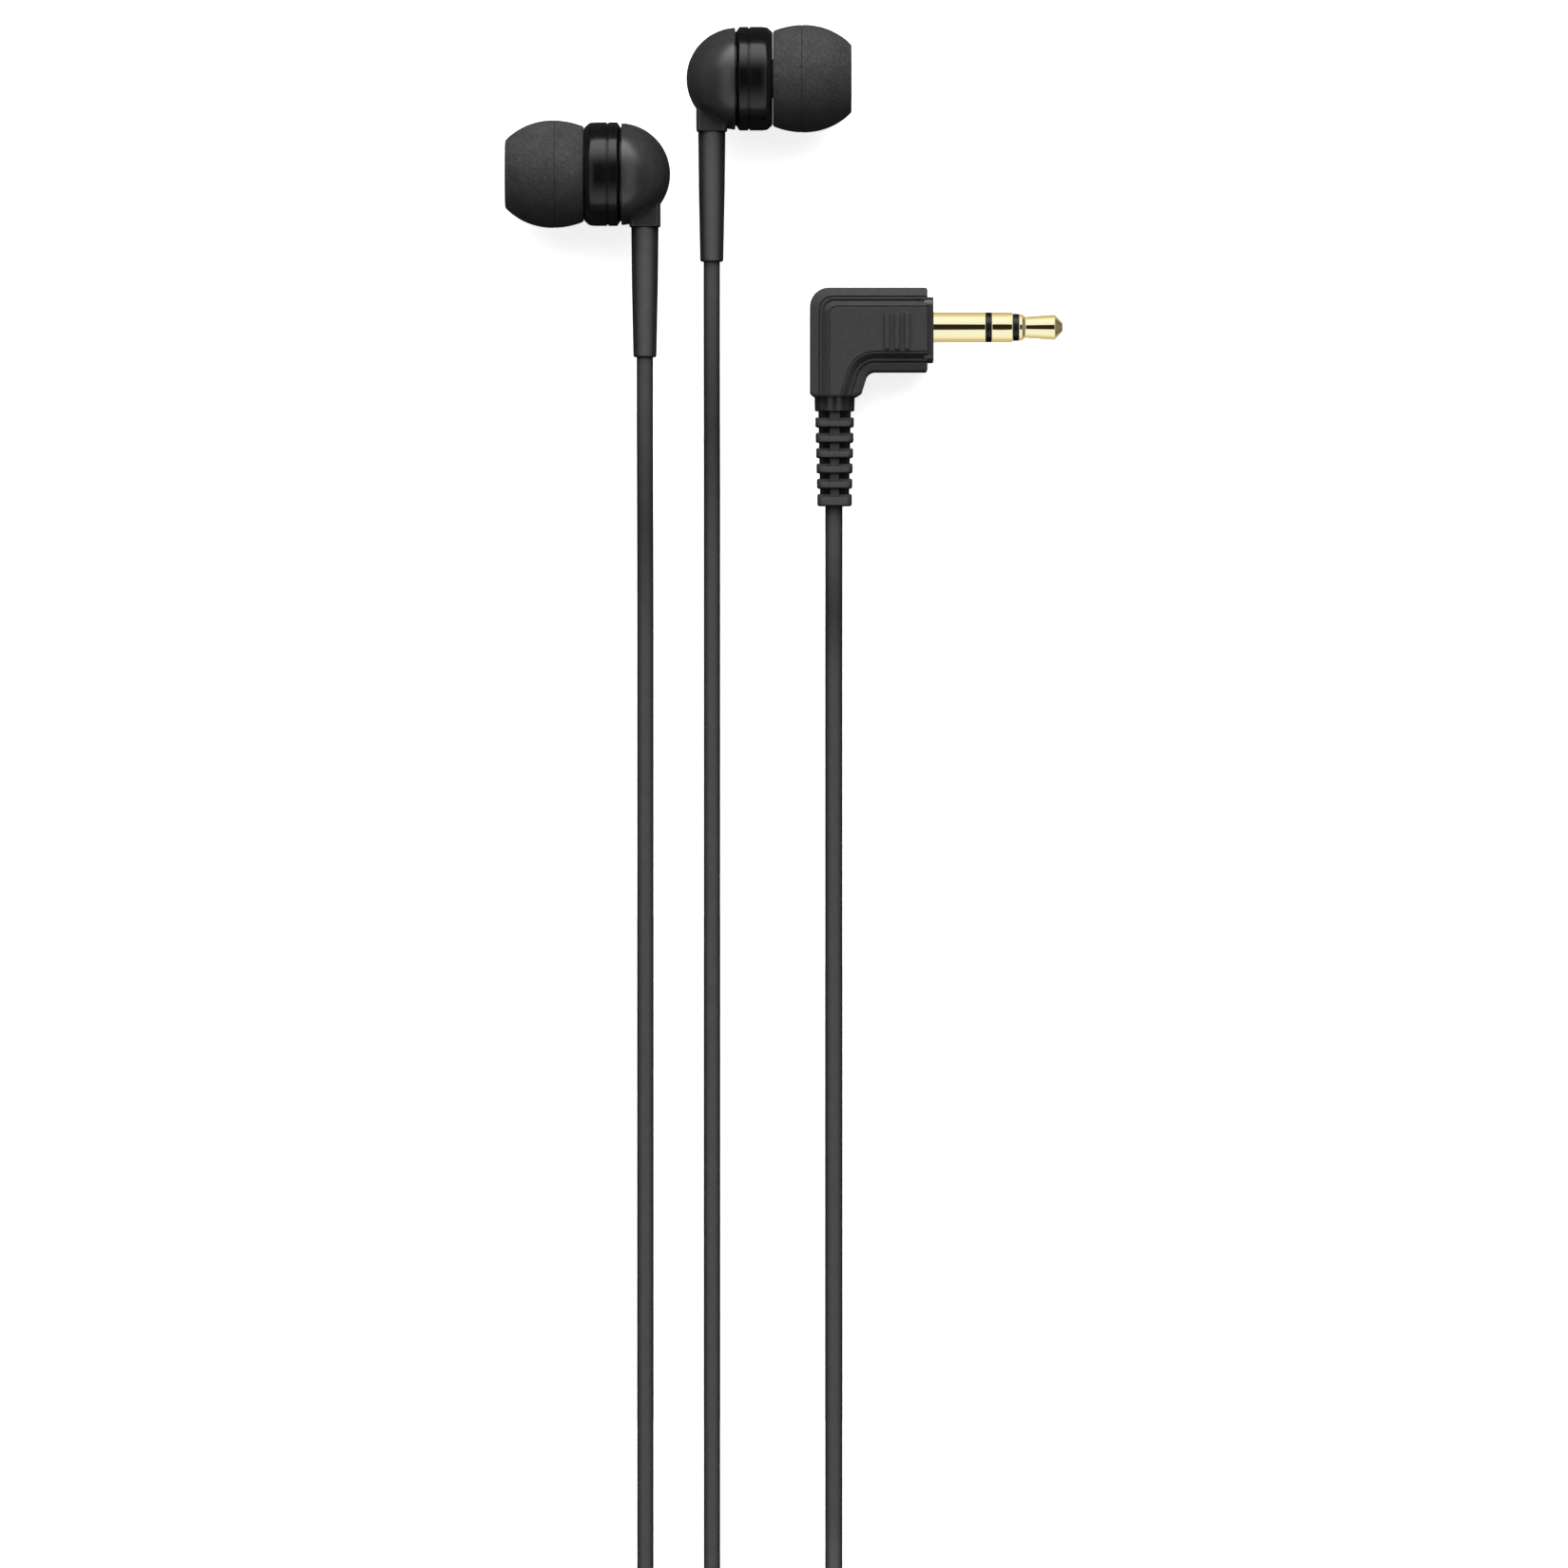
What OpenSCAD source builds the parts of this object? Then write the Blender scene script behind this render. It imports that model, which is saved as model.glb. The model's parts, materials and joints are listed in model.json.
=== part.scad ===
// Wired in-ear earphones lying flat on a table, with the slack cable in a loose coil.
// Millimetres. X runs along the plug shaft, Y up the leads, Z up from the table top.
// The origin is the middle of the underside of the whole object's box.

/* [Layout] */
// Distance of the left lead's axis from the middle, across the object
left_x = -16.1; // [-17:0.1:-15.8]
// Distance of the right lead's axis from the middle, across the object
right_x = -8.36; // [-8.9:0.02:-8.1]
// Distance of the plug lead's axis from the middle, across the object
plug_x = 5.78; // [5.5:0.02:6.1]
// Height of the left earpiece's axis above the right earpiece's
left_y = -11.05; // [-12:0.05:-10.5]
// Height of the plug shaft's axis above the right earpiece's axis
shaft_y = -28.7; // [-32:0.1:-27.5]
// Row of the three low bends in the leads, above the right earpiece's axis
low_bend_y = -152.4; // [-155:0.2:-150]
// Row of the earpiece leads' high bends
ear_bend_y = -67.9; // [-75:0.5:-62]
// Height of the plug lead's high bend
plug_bend_y = -78.9; // [-85:0.5:-74]

/* [Earpiece] */
// Radius of the rear dome
dome_r = 5.9; // [5.8:0.05:6]
// Distance of the dome's centre in front of the lead's axis
dome_u = 2.97; // [2.9:0.01:3.05]
// Position of the parting plane between the dome and the trim ring
parting_u = 2.72; // [2.65:0.01:2.8]
// Wall thickness of the dome
dome_wall = 1; // [0.9:0.05:1.1]
// Radius of the trim ring and of the front housing's band
band_r = 6; // [5.9:0.05:6.2]
// Start of the trim ring's wide part
ring_u = 3.14; // [3.1:0.01:3.2]
// End of the trim ring's wide part
ring_end_u = 4.15; // [4.05:0.01:4.2]
// Start of the front housing
band_u = 4.4; // [4.3:0.01:4.5]
// End of the front housing's band, where the ear tip begins
band_end_u = 7.04; // [7:0.01:7.1]
// Radius of the recesses either side of the trim ring
recess_r = 5.5; // [5.4:0.05:5.6]
// Rounding of the front housing's front edge
band_edge = 0.7; // [0.4:0.1:0.8]
// Length of the sound tube beyond the band
nozzle_len = 4.96; // [4.7:0.02:5.2]
// Radius of the sound tube
nozzle_r = 2.05; // [1.95:0.05:2.1]
// Radius of the sound tube's retaining bead
bead_r = 2.3; // [2.25:0.01:2.3]
// Radius of the sound tube's bore
nozzle_bore_r = 1.55; // [1.4:0.05:1.6]

/* [Ear tip] */
// Largest radius of the silicone tip
tip_r = 6.22; // [6:0.02:6.5]
// Position of the tip's largest radius
tip_wide_u = 10.7; // [10.5:0.05:11]
// Position of the tip's front face
tip_end_u = 16.2; // [16:0.05:16.4]
// Radius of the tip's front curve
tip_front_curve = 7.66; // [7.4:0.02:8]
// Radius of the tip's rear curve
tip_rear_curve = 9.6; // [9.2:0.1:10]
// Thickness of the tip's skirt
skirt_wall = 0.7; // [0.5:0.05:0.8]
// Radius of the tip's sound passage
tip_bore_r = 1.9; // [1.7:0.05:2]

/* [Cable boss and sleeve] */
// Width of the square boss below the dome
boss_w = 3.6; // [3.4:0.05:3.8]
// Depth of the boss's flat underside below the earpiece's axis
boss_low = 6.1; // [6:0.05:6.3]
// Rounding of the boss's corners
boss_round = 0.6; // [0.3:0.1:0.8]
// Depth of the sleeve's end below the earpiece's axis
sleeve_low = 21.2; // [20:0.1:22]
// Radius of the sleeve at the boss
sleeve_top_r = 1.6; // [1.5:0.05:1.7]
// Radius of the sleeve at its free end
sleeve_end_r = 1.35; // [1.25:0.05:1.45]

/* [Cables] */
// Radius of the two thin leads
lead_r = 0.95; // [0.85:0.01:1]
// Radius of the cable from the splitter to the plug
main_r = 1; // [0.95:0.01:1.02]
// Wall thickness of every cable's jacket
jacket = 0.32; // [0.28:0.01:0.36]
// Running gap around the ball at each bend
bend_gap = 0.06; // [0.04:0.01:0.08]
// Length of solid jacket behind each ball
ball_stem = 2; // [1.8:0.1:2.5]

/* [Coil] */
// Centre of the coil's far bends, above the right earpiece's axis
coil_y = -211.2; // [-214:0.2:-211]
// Length of the coil's straight sides
coil_side = 30; // [30:0.5:34]
// Distance of the left lead's strand from the middle, on the coil's left side
outer_x = 30.9; // [30.8:0.02:31.1]
// Distance between the two thin leads in the coil
lead_pitch = 2.1; // [2.05:0.05:2.2]
// Distance of the splitter's axis from the middle
splitter_x = 29.25; // [29.2:0.01:29.3]
// Step between the cable's turns in the coil
turn_step = 2.2; // [2.1:0.02:2.25]

/* [Splitter] */
// Length of the splitter
splitter_len = 15; // [13:0.5:15.5]
// Width of the splitter at the thin leads
splitter_w = 5.8; // [5.4:0.1:5.8]
// Thickness of the splitter
splitter_t = 3.8; // [3.6:0.1:4]

/* [Plug] */
// Radius of the plug's contacts
shaft_r = 1.75; // [1.75]
// Length of the plug's shaft in front of the collar
shaft_len = 15; // [14:0.1:15]
// Height of the collar behind the shaft
collar_h = 7.52; // [7.2:0.02:7.8]
// Depth of the collar, front to back
collar_w = 6.4; // [6:0.1:7]
// Thickness of the collar
collar_t = 0.7; // [0.5:0.1:1]
// Length of the plug housing along the shaft
housing_len = 13.6; // [13.3:0.1:14]
// Thickness of the plug housing over its grip ribs
housing_t = 8; // [7.8:0.1:9]
// Rise of the housing above the shaft's axis
housing_up = 4.53; // [4.4:0.01:4.7]
// Drop of the housing's arm below the shaft's axis
housing_down = 5.2; // [5:0.05:5.4]
// Depth of the housing's foot below the shaft's axis
foot_down = 8.1; // [7.8:0.05:8.5]
// Width of the housing's foot
foot_w = 5.7; // [5.5:0.05:5.9]
// Distance of the plug lead's axis from the housing's outer side
lead_inset = 2.78; // [2.72:0.01:2.84]
// Radius of the housing's outer corner
corner_r = 2.2; // [1.5:0.1:2.4]
// Number of raised grip ribs on each face
grip_ribs = 3; // [2:1:4]

/* [Plug boot] */
// Radius of the boot's top collar
boot_collar_r = 2.4; // [2.3:0.05:2.6]
// Height of the boot's top collar
boot_collar_h = 1.5; // [1.2:0.1:1.8]
// Number of flexing ribs
boot_ribs = 6; // [5:1:7]
// Pitch of the flexing ribs
boot_pitch = 1.8; // [1.7:0.05:1.9]
// Thickness of one flexing rib
boot_rib = 0.95; // [0.85:0.05:1.05]
// Radius of the boot's first rib
boot_r = 2.28; // [2.2:0.02:2.35]
// Radius of the boot's last rib
boot_end_r = 2; // [1.95:0.05:2.1]

/* [Hidden] */
$fn = 64;

// Colours
shell_grey = [0.13, 0.13, 0.14];
gloss_black = [0.04, 0.04, 0.045];
silicone_grey = [0.22, 0.22, 0.23];
jacket_grey = [0.2, 0.2, 0.21];
gold = [0.9, 0.78, 0.45];
copper = [0.75, 0.42, 0.25];
steel = [0.62, 0.62, 0.65];

// Curved legs are this much thinner than straight ones and reach this far into them
leg_step = 0.005;
leg_lap = 0.05;
// Short straight between two opposite curves
joint_leg = 0.3;
sleeve_gap = 0.05;

// Earpiece
ear_z = tip_r;
frame_r = band_r - 1.05;
driver_u = 3;
driver_end_u = 6.1;
front_wall_u = 6.2;
nozzle_end_u = band_end_u + nozzle_len;
mesh_seat_r = 1.8;
mesh_seat = 0.4;
mesh_t = 0.2;
mesh_holes = 6;
tip_start_u = band_end_u + 0.02;
tip_core_r = bead_r + sleeve_gap;
tip_core_out_r = 3.1;
tip_roof_u = 13.4;
yoke_u = 2.7;
yoke_end_u = 5;
yoke_r = 2.55;
yoke_wall = 0.4;
magnet_r = 1.7;
magnet_u = 3.2;
plate_u = 4.5;
plate_end_u = 4.9;
plate_r = 1.8;
coil_in_r = 1.9;
coil_out_r = 2.05;
coil_u = 4.4;
diaphragm_u = 5.5;
diaphragm_t = 0.12;
diaphragm_r = 4.28;
board_u = 2.3;
board_t = 0.35;
board_r = 2;
lead_bore_r = lead_r - jacket;
main_bore_r = main_r - jacket;
core_r = 0.45;
spigot_r = 1.3;
spigot_h = 1.4;
ball_rise = 0.5;
lead_pivot = sleeve_low + ball_rise * lead_r;
tail_low = lead_pivot - lead_r - 0.12;
tail_high = 4.3;
wire_r = 0.16;
wire_split = 0.3;
wire_turn = 1.2;
wire_y = -1;

// Coil: each strand's distance from the middle on the coil's straight sides
inner_lead_x = outer_x - lead_pitch;
lead_right_x = splitter_x + lead_pitch / 2;
turn1_left = 25.9;
turn1_right = 25.1;
turns = 3;
lead_turn = 15;
splitter_z = splitter_t / 2;
climb_turn = 20;
climb_z = 2.1;
dip_turn = 10;
ramp_turn = 40;
raise_after = 8;
cross_turn = 20;
cross_run = 6;

// Whole object's height, to centre it on the origin
far_bend_y = coil_y - coil_side;
object_low = far_bend_y - (outer_x + lead_right_x) / 2 - lead_r;
y_shift = -(tip_r + object_low) / 2;

// Plug
shaft_z = housing_t / 2;
housing_x = plug_x - lead_inset;
collar_x = housing_x + housing_len;
face_x = collar_x + collar_t;
sleeve_len = 6.05;
gap_len = 0.72;
ring_len = 2.45;
ring_x = sleeve_len + gap_len;
ring_end_x = ring_x + ring_len;
tip_x = ring_end_x + gap_len;
front_gap_r = 1.57;
tip_flange_r = 1.55;
tip_flange = 0.35;
tip_neck_r = 1.2;
tip_wide_r = 1.475;
tip_point_r = 0.5;
tip_cone = 0.9;
sleeve_bore_r = 1.3;
ring_bore_r = 1;
rod_sheath_r = 0.8;
rod_r = 0.5;
sleeve_back = 5;
held_r = shaft_r - 0.2;
mouth = 0.4;
collar_drop = 0.34;
collar_corner = 1.2;
sheath_back = 6.6;
ring_back = 7.4;
rod_sheath_back = 8;
rod_back = 8.6;
insert_r = 3.3;
insert_back = 8.2;
pocket_r = 2.2;
rim_inset = 1;
panel_inset = 2;
rim_drop = 1.2;
ledge_drop = 0.85;
panel_drop = 0.35;
inner_curve = 2.3;
foot_flare = 1;
rib_w = 0.57;
rib_pitch = 1.16;
rib_x = 8.6;
rib_up = 1.7;
rib_down = 2.7;
root_r = 1.9;
root_h = 2.6;
boot_low = boot_collar_h + boot_ribs * boot_pitch + 0.25;
boot_core_r = 1.95;
boot_core_end_r = 1.75;
web_w = 1.2;
web_r = 1.9;
foot_y = shaft_y - foot_down;
plug_pivot_y = foot_y - boot_low - ball_rise * main_r;
plug_tail_y = plug_pivot_y + main_r + 0.12;
plug_wire_r = 0.15;
plug_wire_turn = 1.5;
plug_wire_gap = 0.34;
wire_curve = 2;
channel_r = 1.8;
wire_pocket_r = 2;

// A cable's path is a list of legs: ["go", length], ["turn", radius, angle to the left]
// and ["climb", radius, angle upwards]. A pose is [x, y, z, heading, slope].
function after_go(p, d) =
  [p[0] + d * cos(p[3]) * cos(p[4]), p[1] + d * sin(p[3]) * cos(p[4]), p[2] + d * sin(p[4]), p[3], p[4]];
function after_turn(p, r, a) =
  [p[0] + sign(a) * r * (sin(p[3] + a) - sin(p[3])), p[1] - sign(a) * r * (cos(p[3] + a) - cos(p[3])),
   p[2], p[3] + a, p[4]];
function after_climb(p, r, a) =
  let(run = sign(a) * r * (sin(p[4] + a) - sin(p[4])))
  [p[0] + run * cos(p[3]), p[1] + run * sin(p[3]), p[2] + sign(a) * r * (cos(p[4]) - cos(p[4] + a)),
   p[3], p[4] + a];
function after(p, leg) =
  leg[0] == "go" ? after_go(p, leg[1]) :
  leg[0] == "turn" ? after_turn(p, leg[1], leg[2]) : after_climb(p, leg[1], leg[2]);
function poses(p, legs, i = 0) =
  i >= len(legs) ? [p] : concat([p], poses(after(p, legs[i]), legs, i + 1));
function end_pose(p, legs) = let(all = poses(p, legs)) all[len(all) - 1];

// Angle of two opposite curves, of radii adding up to r, that shift a path sideways
function shift_angle(r, shift) =
  acos((r - shift) / sqrt(r * r + joint_leg * joint_leg)) - atan(joint_leg / r);
function shift_run(r, shift) =
  let(a = shift_angle(r, shift)) r * sin(a) + joint_leg * cos(a);
function ramp(r, rise) =
  let(a = sign(rise) * shift_angle(2 * r, abs(rise)))
  [["climb", r, a], ["go", joint_leg], ["climb", r, -a]];

module at_pose(p) {
  translate([p[0], p[1], p[2]]) rotate([0, -p[4], p[3]]) children();
}

module straight_leg(d, r, bore) {
  rotate([0, 90, 0]) difference() {
    cylinder(r = r, h = d);
    if (bore > 0) translate([0, 0, -1]) cylinder(r = bore, h = d + 2);
  }
}

module curved_leg(radius, angle, r, bore) {
  lap = leg_lap / radius * 180 / PI;
  side = sign(angle);
  translate([0, side * radius, 0])
    rotate([0, 0, (side > 0 ? -90 : 90 + angle) - lap])
      rotate_extrude(angle = abs(angle) + 2 * lap)
        translate([radius, 0])
          difference() {
            circle(r - leg_step);
            if (bore > 0) circle(bore + leg_step);
          }
}

module along(start, legs, r, bore = 0) {
  steps = poses(start, legs);
  for (i = [0 : len(legs) - 1])
    at_pose(steps[i])
      if (legs[i][0] == "go")
        straight_leg(legs[i][1], r, bore);
      else if (legs[i][0] == "turn")
        curved_leg(legs[i][1], legs[i][2], r, bore);
      else
        rotate([90, 0, 0]) curved_leg(legs[i][1], legs[i][2], r, bore);
}

// Solid cable end with a half ball, whose centre is at the origin and which points along X
module ball_end(r) {
  rotate([0, 90, 0])
    translate([0, 0, -ball_stem - leg_lap])
      rotate_extrude() {
        square([r - leg_step, ball_stem + leg_lap]);
        intersection() {
          translate([0, ball_stem + leg_lap]) circle(r - leg_step);
          square([r, 2 * ball_stem]);
        }
      }
}

// Cable between two bends: hollow seat over the ball below, ball at the top end
module bending_piece(start, legs, r, bore) {
  n = len(legs) - 1;
  trimmed = [for (i = [0 : n])
    legs[i][0] == "go"
      ? ["go", legs[i][1] - (i == 0 ? ball_rise * r : 0) - (i == n ? ball_stem : 0)]
      : legs[i]];
  difference() {
    along(after_go(start, ball_rise * r), trimmed, r, bore);
    at_pose(start) rotate([0, 90, 0]) sphere(r + bend_gap);
  }
  at_pose(end_pose(start, legs)) ball_end(r);
}

// The wires inside that piece, clear of both balls
module bending_core(start, legs, r) {
  n = len(legs) - 1;
  seat = r + 2 * bend_gap;
  stem = ball_stem + leg_lap + bend_gap;
  trimmed = [for (i = [0 : n])
    legs[i][0] == "go" ? ["go", legs[i][1] - (i == 0 ? seat : 0) - (i == n ? stem : 0)] : legs[i]];
  along(after_go(start, seat), trimmed, core_r);
}

// Cable whose far end is fixed: ball at its start
module rooted_piece(start, legs, r, bore) {
  at_pose(start) rotate([0, 0, 180]) ball_end(r);
  along(after_go(start, ball_stem), rooted_legs(legs), r, bore);
}

function rooted_legs(legs, more = 0) =
  [for (i = [0 : len(legs) - 1]) i == 0 ? ["go", legs[0][1] - ball_stem - more] : legs[i]];

module spin_ear() {
  rotate([0, 90, 0]) rotate_extrude() children();
}

// A ring's section: from radius a to radius b, from u to v along the axis
module section(a, b, u, v) {
  translate([a, u]) square([b - a, v - u]);
}

module on_left() {
  translate([left_x, left_y + y_shift, ear_z]) mirror([1, 0, 0]) children();
}

module on_right() {
  translate([right_x, y_shift, ear_z]) children();
}

// Silicone tip: skirt, front and the core that grips the sound tube
module ear_tip() {
  color(silicone_grey)
    spin_ear()
      difference() {
        tip_outline(0);
        difference() {
          tip_outline(skirt_wall);
          section(0, tip_core_out_r, 0, tip_end_u);
          section(0, tip_r, tip_roof_u, tip_end_u);
        }
        section(0, tip_core_r, 0, nozzle_end_u + 0.1);
        section(0, tip_bore_r, 0, tip_end_u + 1);
        section(0, tip_core_out_r, 0, tip_start_u + 0.3);
      }
}

module tip_outline(inset) {
  intersection() {
    translate([tip_r - tip_front_curve, tip_wide_u]) circle(tip_front_curve - inset);
    section(0, tip_r, tip_wide_u, tip_end_u);
  }
  intersection() {
    translate([tip_r - tip_rear_curve, tip_wide_u]) circle(tip_rear_curve - inset);
    section(0, tip_r, tip_start_u - inset, tip_wide_u);
  }
}

// Front housing: glossy band, front wall and sound tube with its bead
module front_housing() {
  color(gloss_black)
    spin_ear()
      difference() {
        union() {
          section(0, band_r - band_edge, band_u, band_end_u);
          section(0, band_r, band_u, band_end_u - band_edge);
          translate([band_r - band_edge, band_end_u - band_edge]) circle(band_edge);
          section(0, nozzle_r, band_end_u - 1, nozzle_end_u);
          section(0, bead_r, nozzle_end_u - 1.6, nozzle_end_u - 0.9);
        }
        section(0, frame_r + 0.05, 0, front_wall_u);
        section(0, nozzle_bore_r, 0, nozzle_end_u + 1);
        section(0, mesh_seat_r, nozzle_end_u - mesh_seat, nozzle_end_u + 1);
      }
}

// Trim ring with the recesses either side of it
module trim_ring() {
  color(gloss_black)
    spin_ear() {
      section(frame_r + 0.05, recess_r, parting_u, ring_u + 0.1);
      section(frame_r + 0.05, band_r, ring_u, ring_end_u);
      section(frame_r + 0.05, recess_r + 0.25, ring_end_u - 0.1, band_u);
    }
}

// Rear housing: dome and square boss
module rear_housing() {
  color(shell_grey)
    difference() {
      union() {
        spin_ear()
          intersection() {
            translate([0, dome_u]) circle(dome_r);
            section(0, dome_r, dome_u - dome_r, parting_u);
          }
        boss();
      }
      spin_ear()
        intersection() {
          translate([0, dome_u]) circle(dome_r - dome_wall);
          section(0, dome_r, dome_u - dome_r, parting_u + 1);
        }
      rotate([90, 0, 0]) cylinder(r = spigot_r + sleeve_gap, h = boss_low + 1);
    }
}

module boss() {
  half = boss_w / 2;
  flat = half - boss_round;
  rotate([90, 0, 0])
    translate([0, 0, boss_round + 2])
      linear_extrude(boss_low - boss_round - 2) {
        square([boss_w, 2 * flat], center = true);
        square([2 * flat, boss_w], center = true);
        for (x = [-flat, flat], y = [-flat, flat])
          translate([x, y]) circle(boss_round);
      }
}

// Woven guard at the mouth of the sound tube
module nozzle_mesh() {
  color(steel)
    translate([nozzle_end_u - mesh_seat, 0, 0])
      rotate([0, 90, 0])
        difference() {
          cylinder(r = mesh_seat_r - 0.02, h = mesh_t);
          for (i = [1 : mesh_holes], ring = [0.45, 0.95])
            rotate([0, 0, i * 360 / mesh_holes + ring * 30])
              translate([ring, 0, -1]) cylinder(r = 0.16, h = 2);
          translate([0, 0, -1]) cylinder(r = 0.16, h = 2);
        }
}

// Ring that carries the speaker
module driver_frame() {
  color(steel)
    spin_ear() {
      section(diaphragm_r + 0.02, frame_r, driver_u, driver_end_u);
      section(yoke_r + 0.02, frame_r, driver_u, driver_u + 0.4);
    }
}

module diaphragm() {
  color([0.7, 0.7, 0.66])
    spin_ear() {
      section(coil_in_r, diaphragm_r, diaphragm_u, diaphragm_u + diaphragm_t);
      intersection() {
        difference() {
          translate([0, diaphragm_u - 2.8]) circle(3.4);
          translate([0, diaphragm_u - 2.8]) circle(3.4 - diaphragm_t);
        }
        section(0, coil_in_r + 0.05, diaphragm_u, diaphragm_u + 1);
      }
    }
}

module voice_coil() {
  color(copper)
    spin_ear() section(coil_in_r, coil_out_r, coil_u, diaphragm_u);
}

module magnet() {
  color(steel)
    spin_ear() section(0, magnet_r, magnet_u, plate_u);
}

module pole_plate() {
  color(steel)
    spin_ear() section(0, plate_r, plate_u, plate_end_u);
}

module yoke_cup() {
  color(steel)
    spin_ear()
      difference() {
        section(0, yoke_r, yoke_u, yoke_end_u);
        section(0, yoke_r - yoke_wall, magnet_u, yoke_end_u + 1);
      }
}

module terminal_board() {
  color([0.1, 0.35, 0.2])
    spin_ear() section(0, board_r, board_u, board_u + board_t);
}

// Tapered sleeve below the boss
module strain_sleeve() {
  color(jacket_grey)
    rotate([90, 0, 0])
      difference() {
        union() {
          translate([0, 0, boss_low])
            cylinder(r1 = sleeve_top_r, r2 = sleeve_end_r, h = sleeve_low - boss_low);
          translate([0, 0, boss_low - spigot_h]) cylinder(r = spigot_r, h = spigot_h + 1);
        }
        cylinder(r = lead_r + sleeve_gap, h = sleeve_low + 1);
        translate([0, 0, lead_pivot]) sphere(lead_r + bend_gap);
      }
}

// End of the lead, fixed inside the sleeve
module lead_tail() {
  color(jacket_grey)
    rotate([90, 0, 0])
      difference() {
        translate([0, 0, tail_high]) cylinder(r = lead_r, h = tail_low - tail_high);
        translate([0, 0, tail_high - 1]) cylinder(r = lead_bore_r, h = tail_low);
      }
}

// Two wires from the lead's end to the speaker's terminal board
module tail_wires() {
  color(copper)
    for (z = [-wire_split, wire_split])
      along([0, -tail_low, z, 90, 0],
            [["go", tail_low + wire_y - wire_turn], ["turn", wire_turn, -90], ["go", board_u - wire_turn]],
            wire_r);
}

// Thin leads: from the sleeve, down onto the table, and away to the coil
ear_rise = ear_z - lead_r;

function ear_upper_legs(ear_y) =
  let(len = ear_y - lead_pivot - ear_bend_y, slope = shift_run(2 * ramp_turn, ear_rise))
  concat([["go", len - slope - 4]], ramp(ramp_turn, ear_rise), [["go", 4]]);

mid_legs = [["go", ear_bend_y - low_bend_y]];
plug_mid_legs = [["go", plug_bend_y - low_bend_y]];

function lower_legs(x, side_x, right) =
  let(radii = lead_turn + side_x, shift = x + side_x,
      start = low_bend_y - coil_y - shift_run(radii, shift),
      dip = shift_run(2 * dip_turn, splitter_z - lead_r),
      a = shift_angle(radii, shift))
  concat([["go", start], ["turn", lead_turn, -a], ["go", joint_leg], ["turn", side_x, a],
          ["go", coil_side], ["turn", (side_x + right) / 2, 180],
          ["go", (coil_side - splitter_len) / 2 - dip]],
         ramp(dip_turn, splitter_z - lead_r), [["go", 3]]);

left_lower_legs = lower_legs(left_x, outer_x, lead_right_x);
right_lower_legs = lower_legs(right_x, inner_lead_x, lead_right_x - lead_pitch);

module left_lead_lower() {
  color(jacket_grey)
    rooted_piece([left_x, low_bend_y + y_shift, lead_r, -90, 0], left_lower_legs, lead_r, lead_bore_r);
}

module right_lead_lower() {
  color(jacket_grey)
    rooted_piece([right_x, low_bend_y + y_shift, lead_r, -90, 0], right_lower_legs, lead_r, lead_bore_r);
}

module left_core_lower() {
  color(copper)
    along([left_x, low_bend_y + y_shift - ball_stem - 0.2, lead_r, -90, 0],
          rooted_legs(left_lower_legs, 0.2), core_r);
}

module right_core_lower() {
  color(copper)
    along([right_x, low_bend_y + y_shift - ball_stem - 0.2, lead_r, -90, 0],
          rooted_legs(right_lower_legs, 0.2), core_r);
}

function low_pose(x, r) = [x, low_bend_y + y_shift, r, 90, 0];
function high_pose(x, y, r) = [x, y + y_shift, r, 90, 0];

module lead_mid(x) {
  color(jacket_grey) bending_piece(low_pose(x, lead_r), mid_legs, lead_r, lead_bore_r);
}

module core_mid(x) {
  color(copper) bending_core(low_pose(x, lead_r), mid_legs, lead_r);
}

module lead_upper(x, ear_y) {
  color(jacket_grey)
    bending_piece(high_pose(x, ear_bend_y, lead_r), ear_upper_legs(ear_y), lead_r, lead_bore_r);
}

module core_upper(x, ear_y) {
  color(copper) bending_core(high_pose(x, ear_bend_y, lead_r), ear_upper_legs(ear_y), lead_r);
}

// Cable from the splitter, three turns round the coil, over its far end and up to the plug lead
function coil_turns(i) =
  let(left = turn1_left - i * turn_step, right = turn1_right - i * turn_step,
      before = i == 0 ? splitter_x : turn1_right - (i - 1) * turn_step)
  [["turn", (before + left) / 2, 180], ["go", coil_side], ["turn", (left + right) / 2, 180],
   ["go", i == turns - 1 ? raise_after : coil_side]];

last_x = turn1_right - (turns - 1) * turn_step;
first_dip = shift_run(2 * dip_turn, splitter_z - main_r);
climb_run = shift_run(2 * climb_turn, climb_z);
cross_shift = last_x - plug_x;
cross_len = shift_run(2 * cross_turn, cross_shift);
cross_a = shift_angle(2 * cross_turn, cross_shift);
before_cross = coil_side - raise_after - climb_run - cross_run;
after_cross = low_bend_y - coil_y + cross_run - cross_len - cross_run - climb_run - ball_stem;

common_legs = concat(
  [["go", 3]], ramp(dip_turn, main_r - splitter_z),
  [["go", (coil_side - splitter_len) / 2 - first_dip]],
  coil_turns(0), coil_turns(1), coil_turns(2),
  ramp(climb_turn, climb_z),
  [["go", before_cross], ["turn", cross_turn, cross_a], ["go", joint_leg], ["turn", cross_turn, -cross_a],
   ["go", cross_run]],
  ramp(climb_turn, -climb_z), [["go", after_cross]]);

common_start = [splitter_x, coil_y - (coil_side - splitter_len) / 2 - 3 + y_shift, splitter_z, 90, 0];

module common_cable() {
  color(jacket_grey) {
    along(common_start, common_legs, main_r, main_bore_r);
    at_pose(low_pose(plug_x, main_r)) ball_end(main_r);
  }
}

module common_core() {
  n = len(common_legs) - 1;
  color(copper)
    along(common_start,
          [for (i = [0 : n]) i == n ? ["go", after_cross - 0.2] : common_legs[i]], core_r);
}

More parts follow.
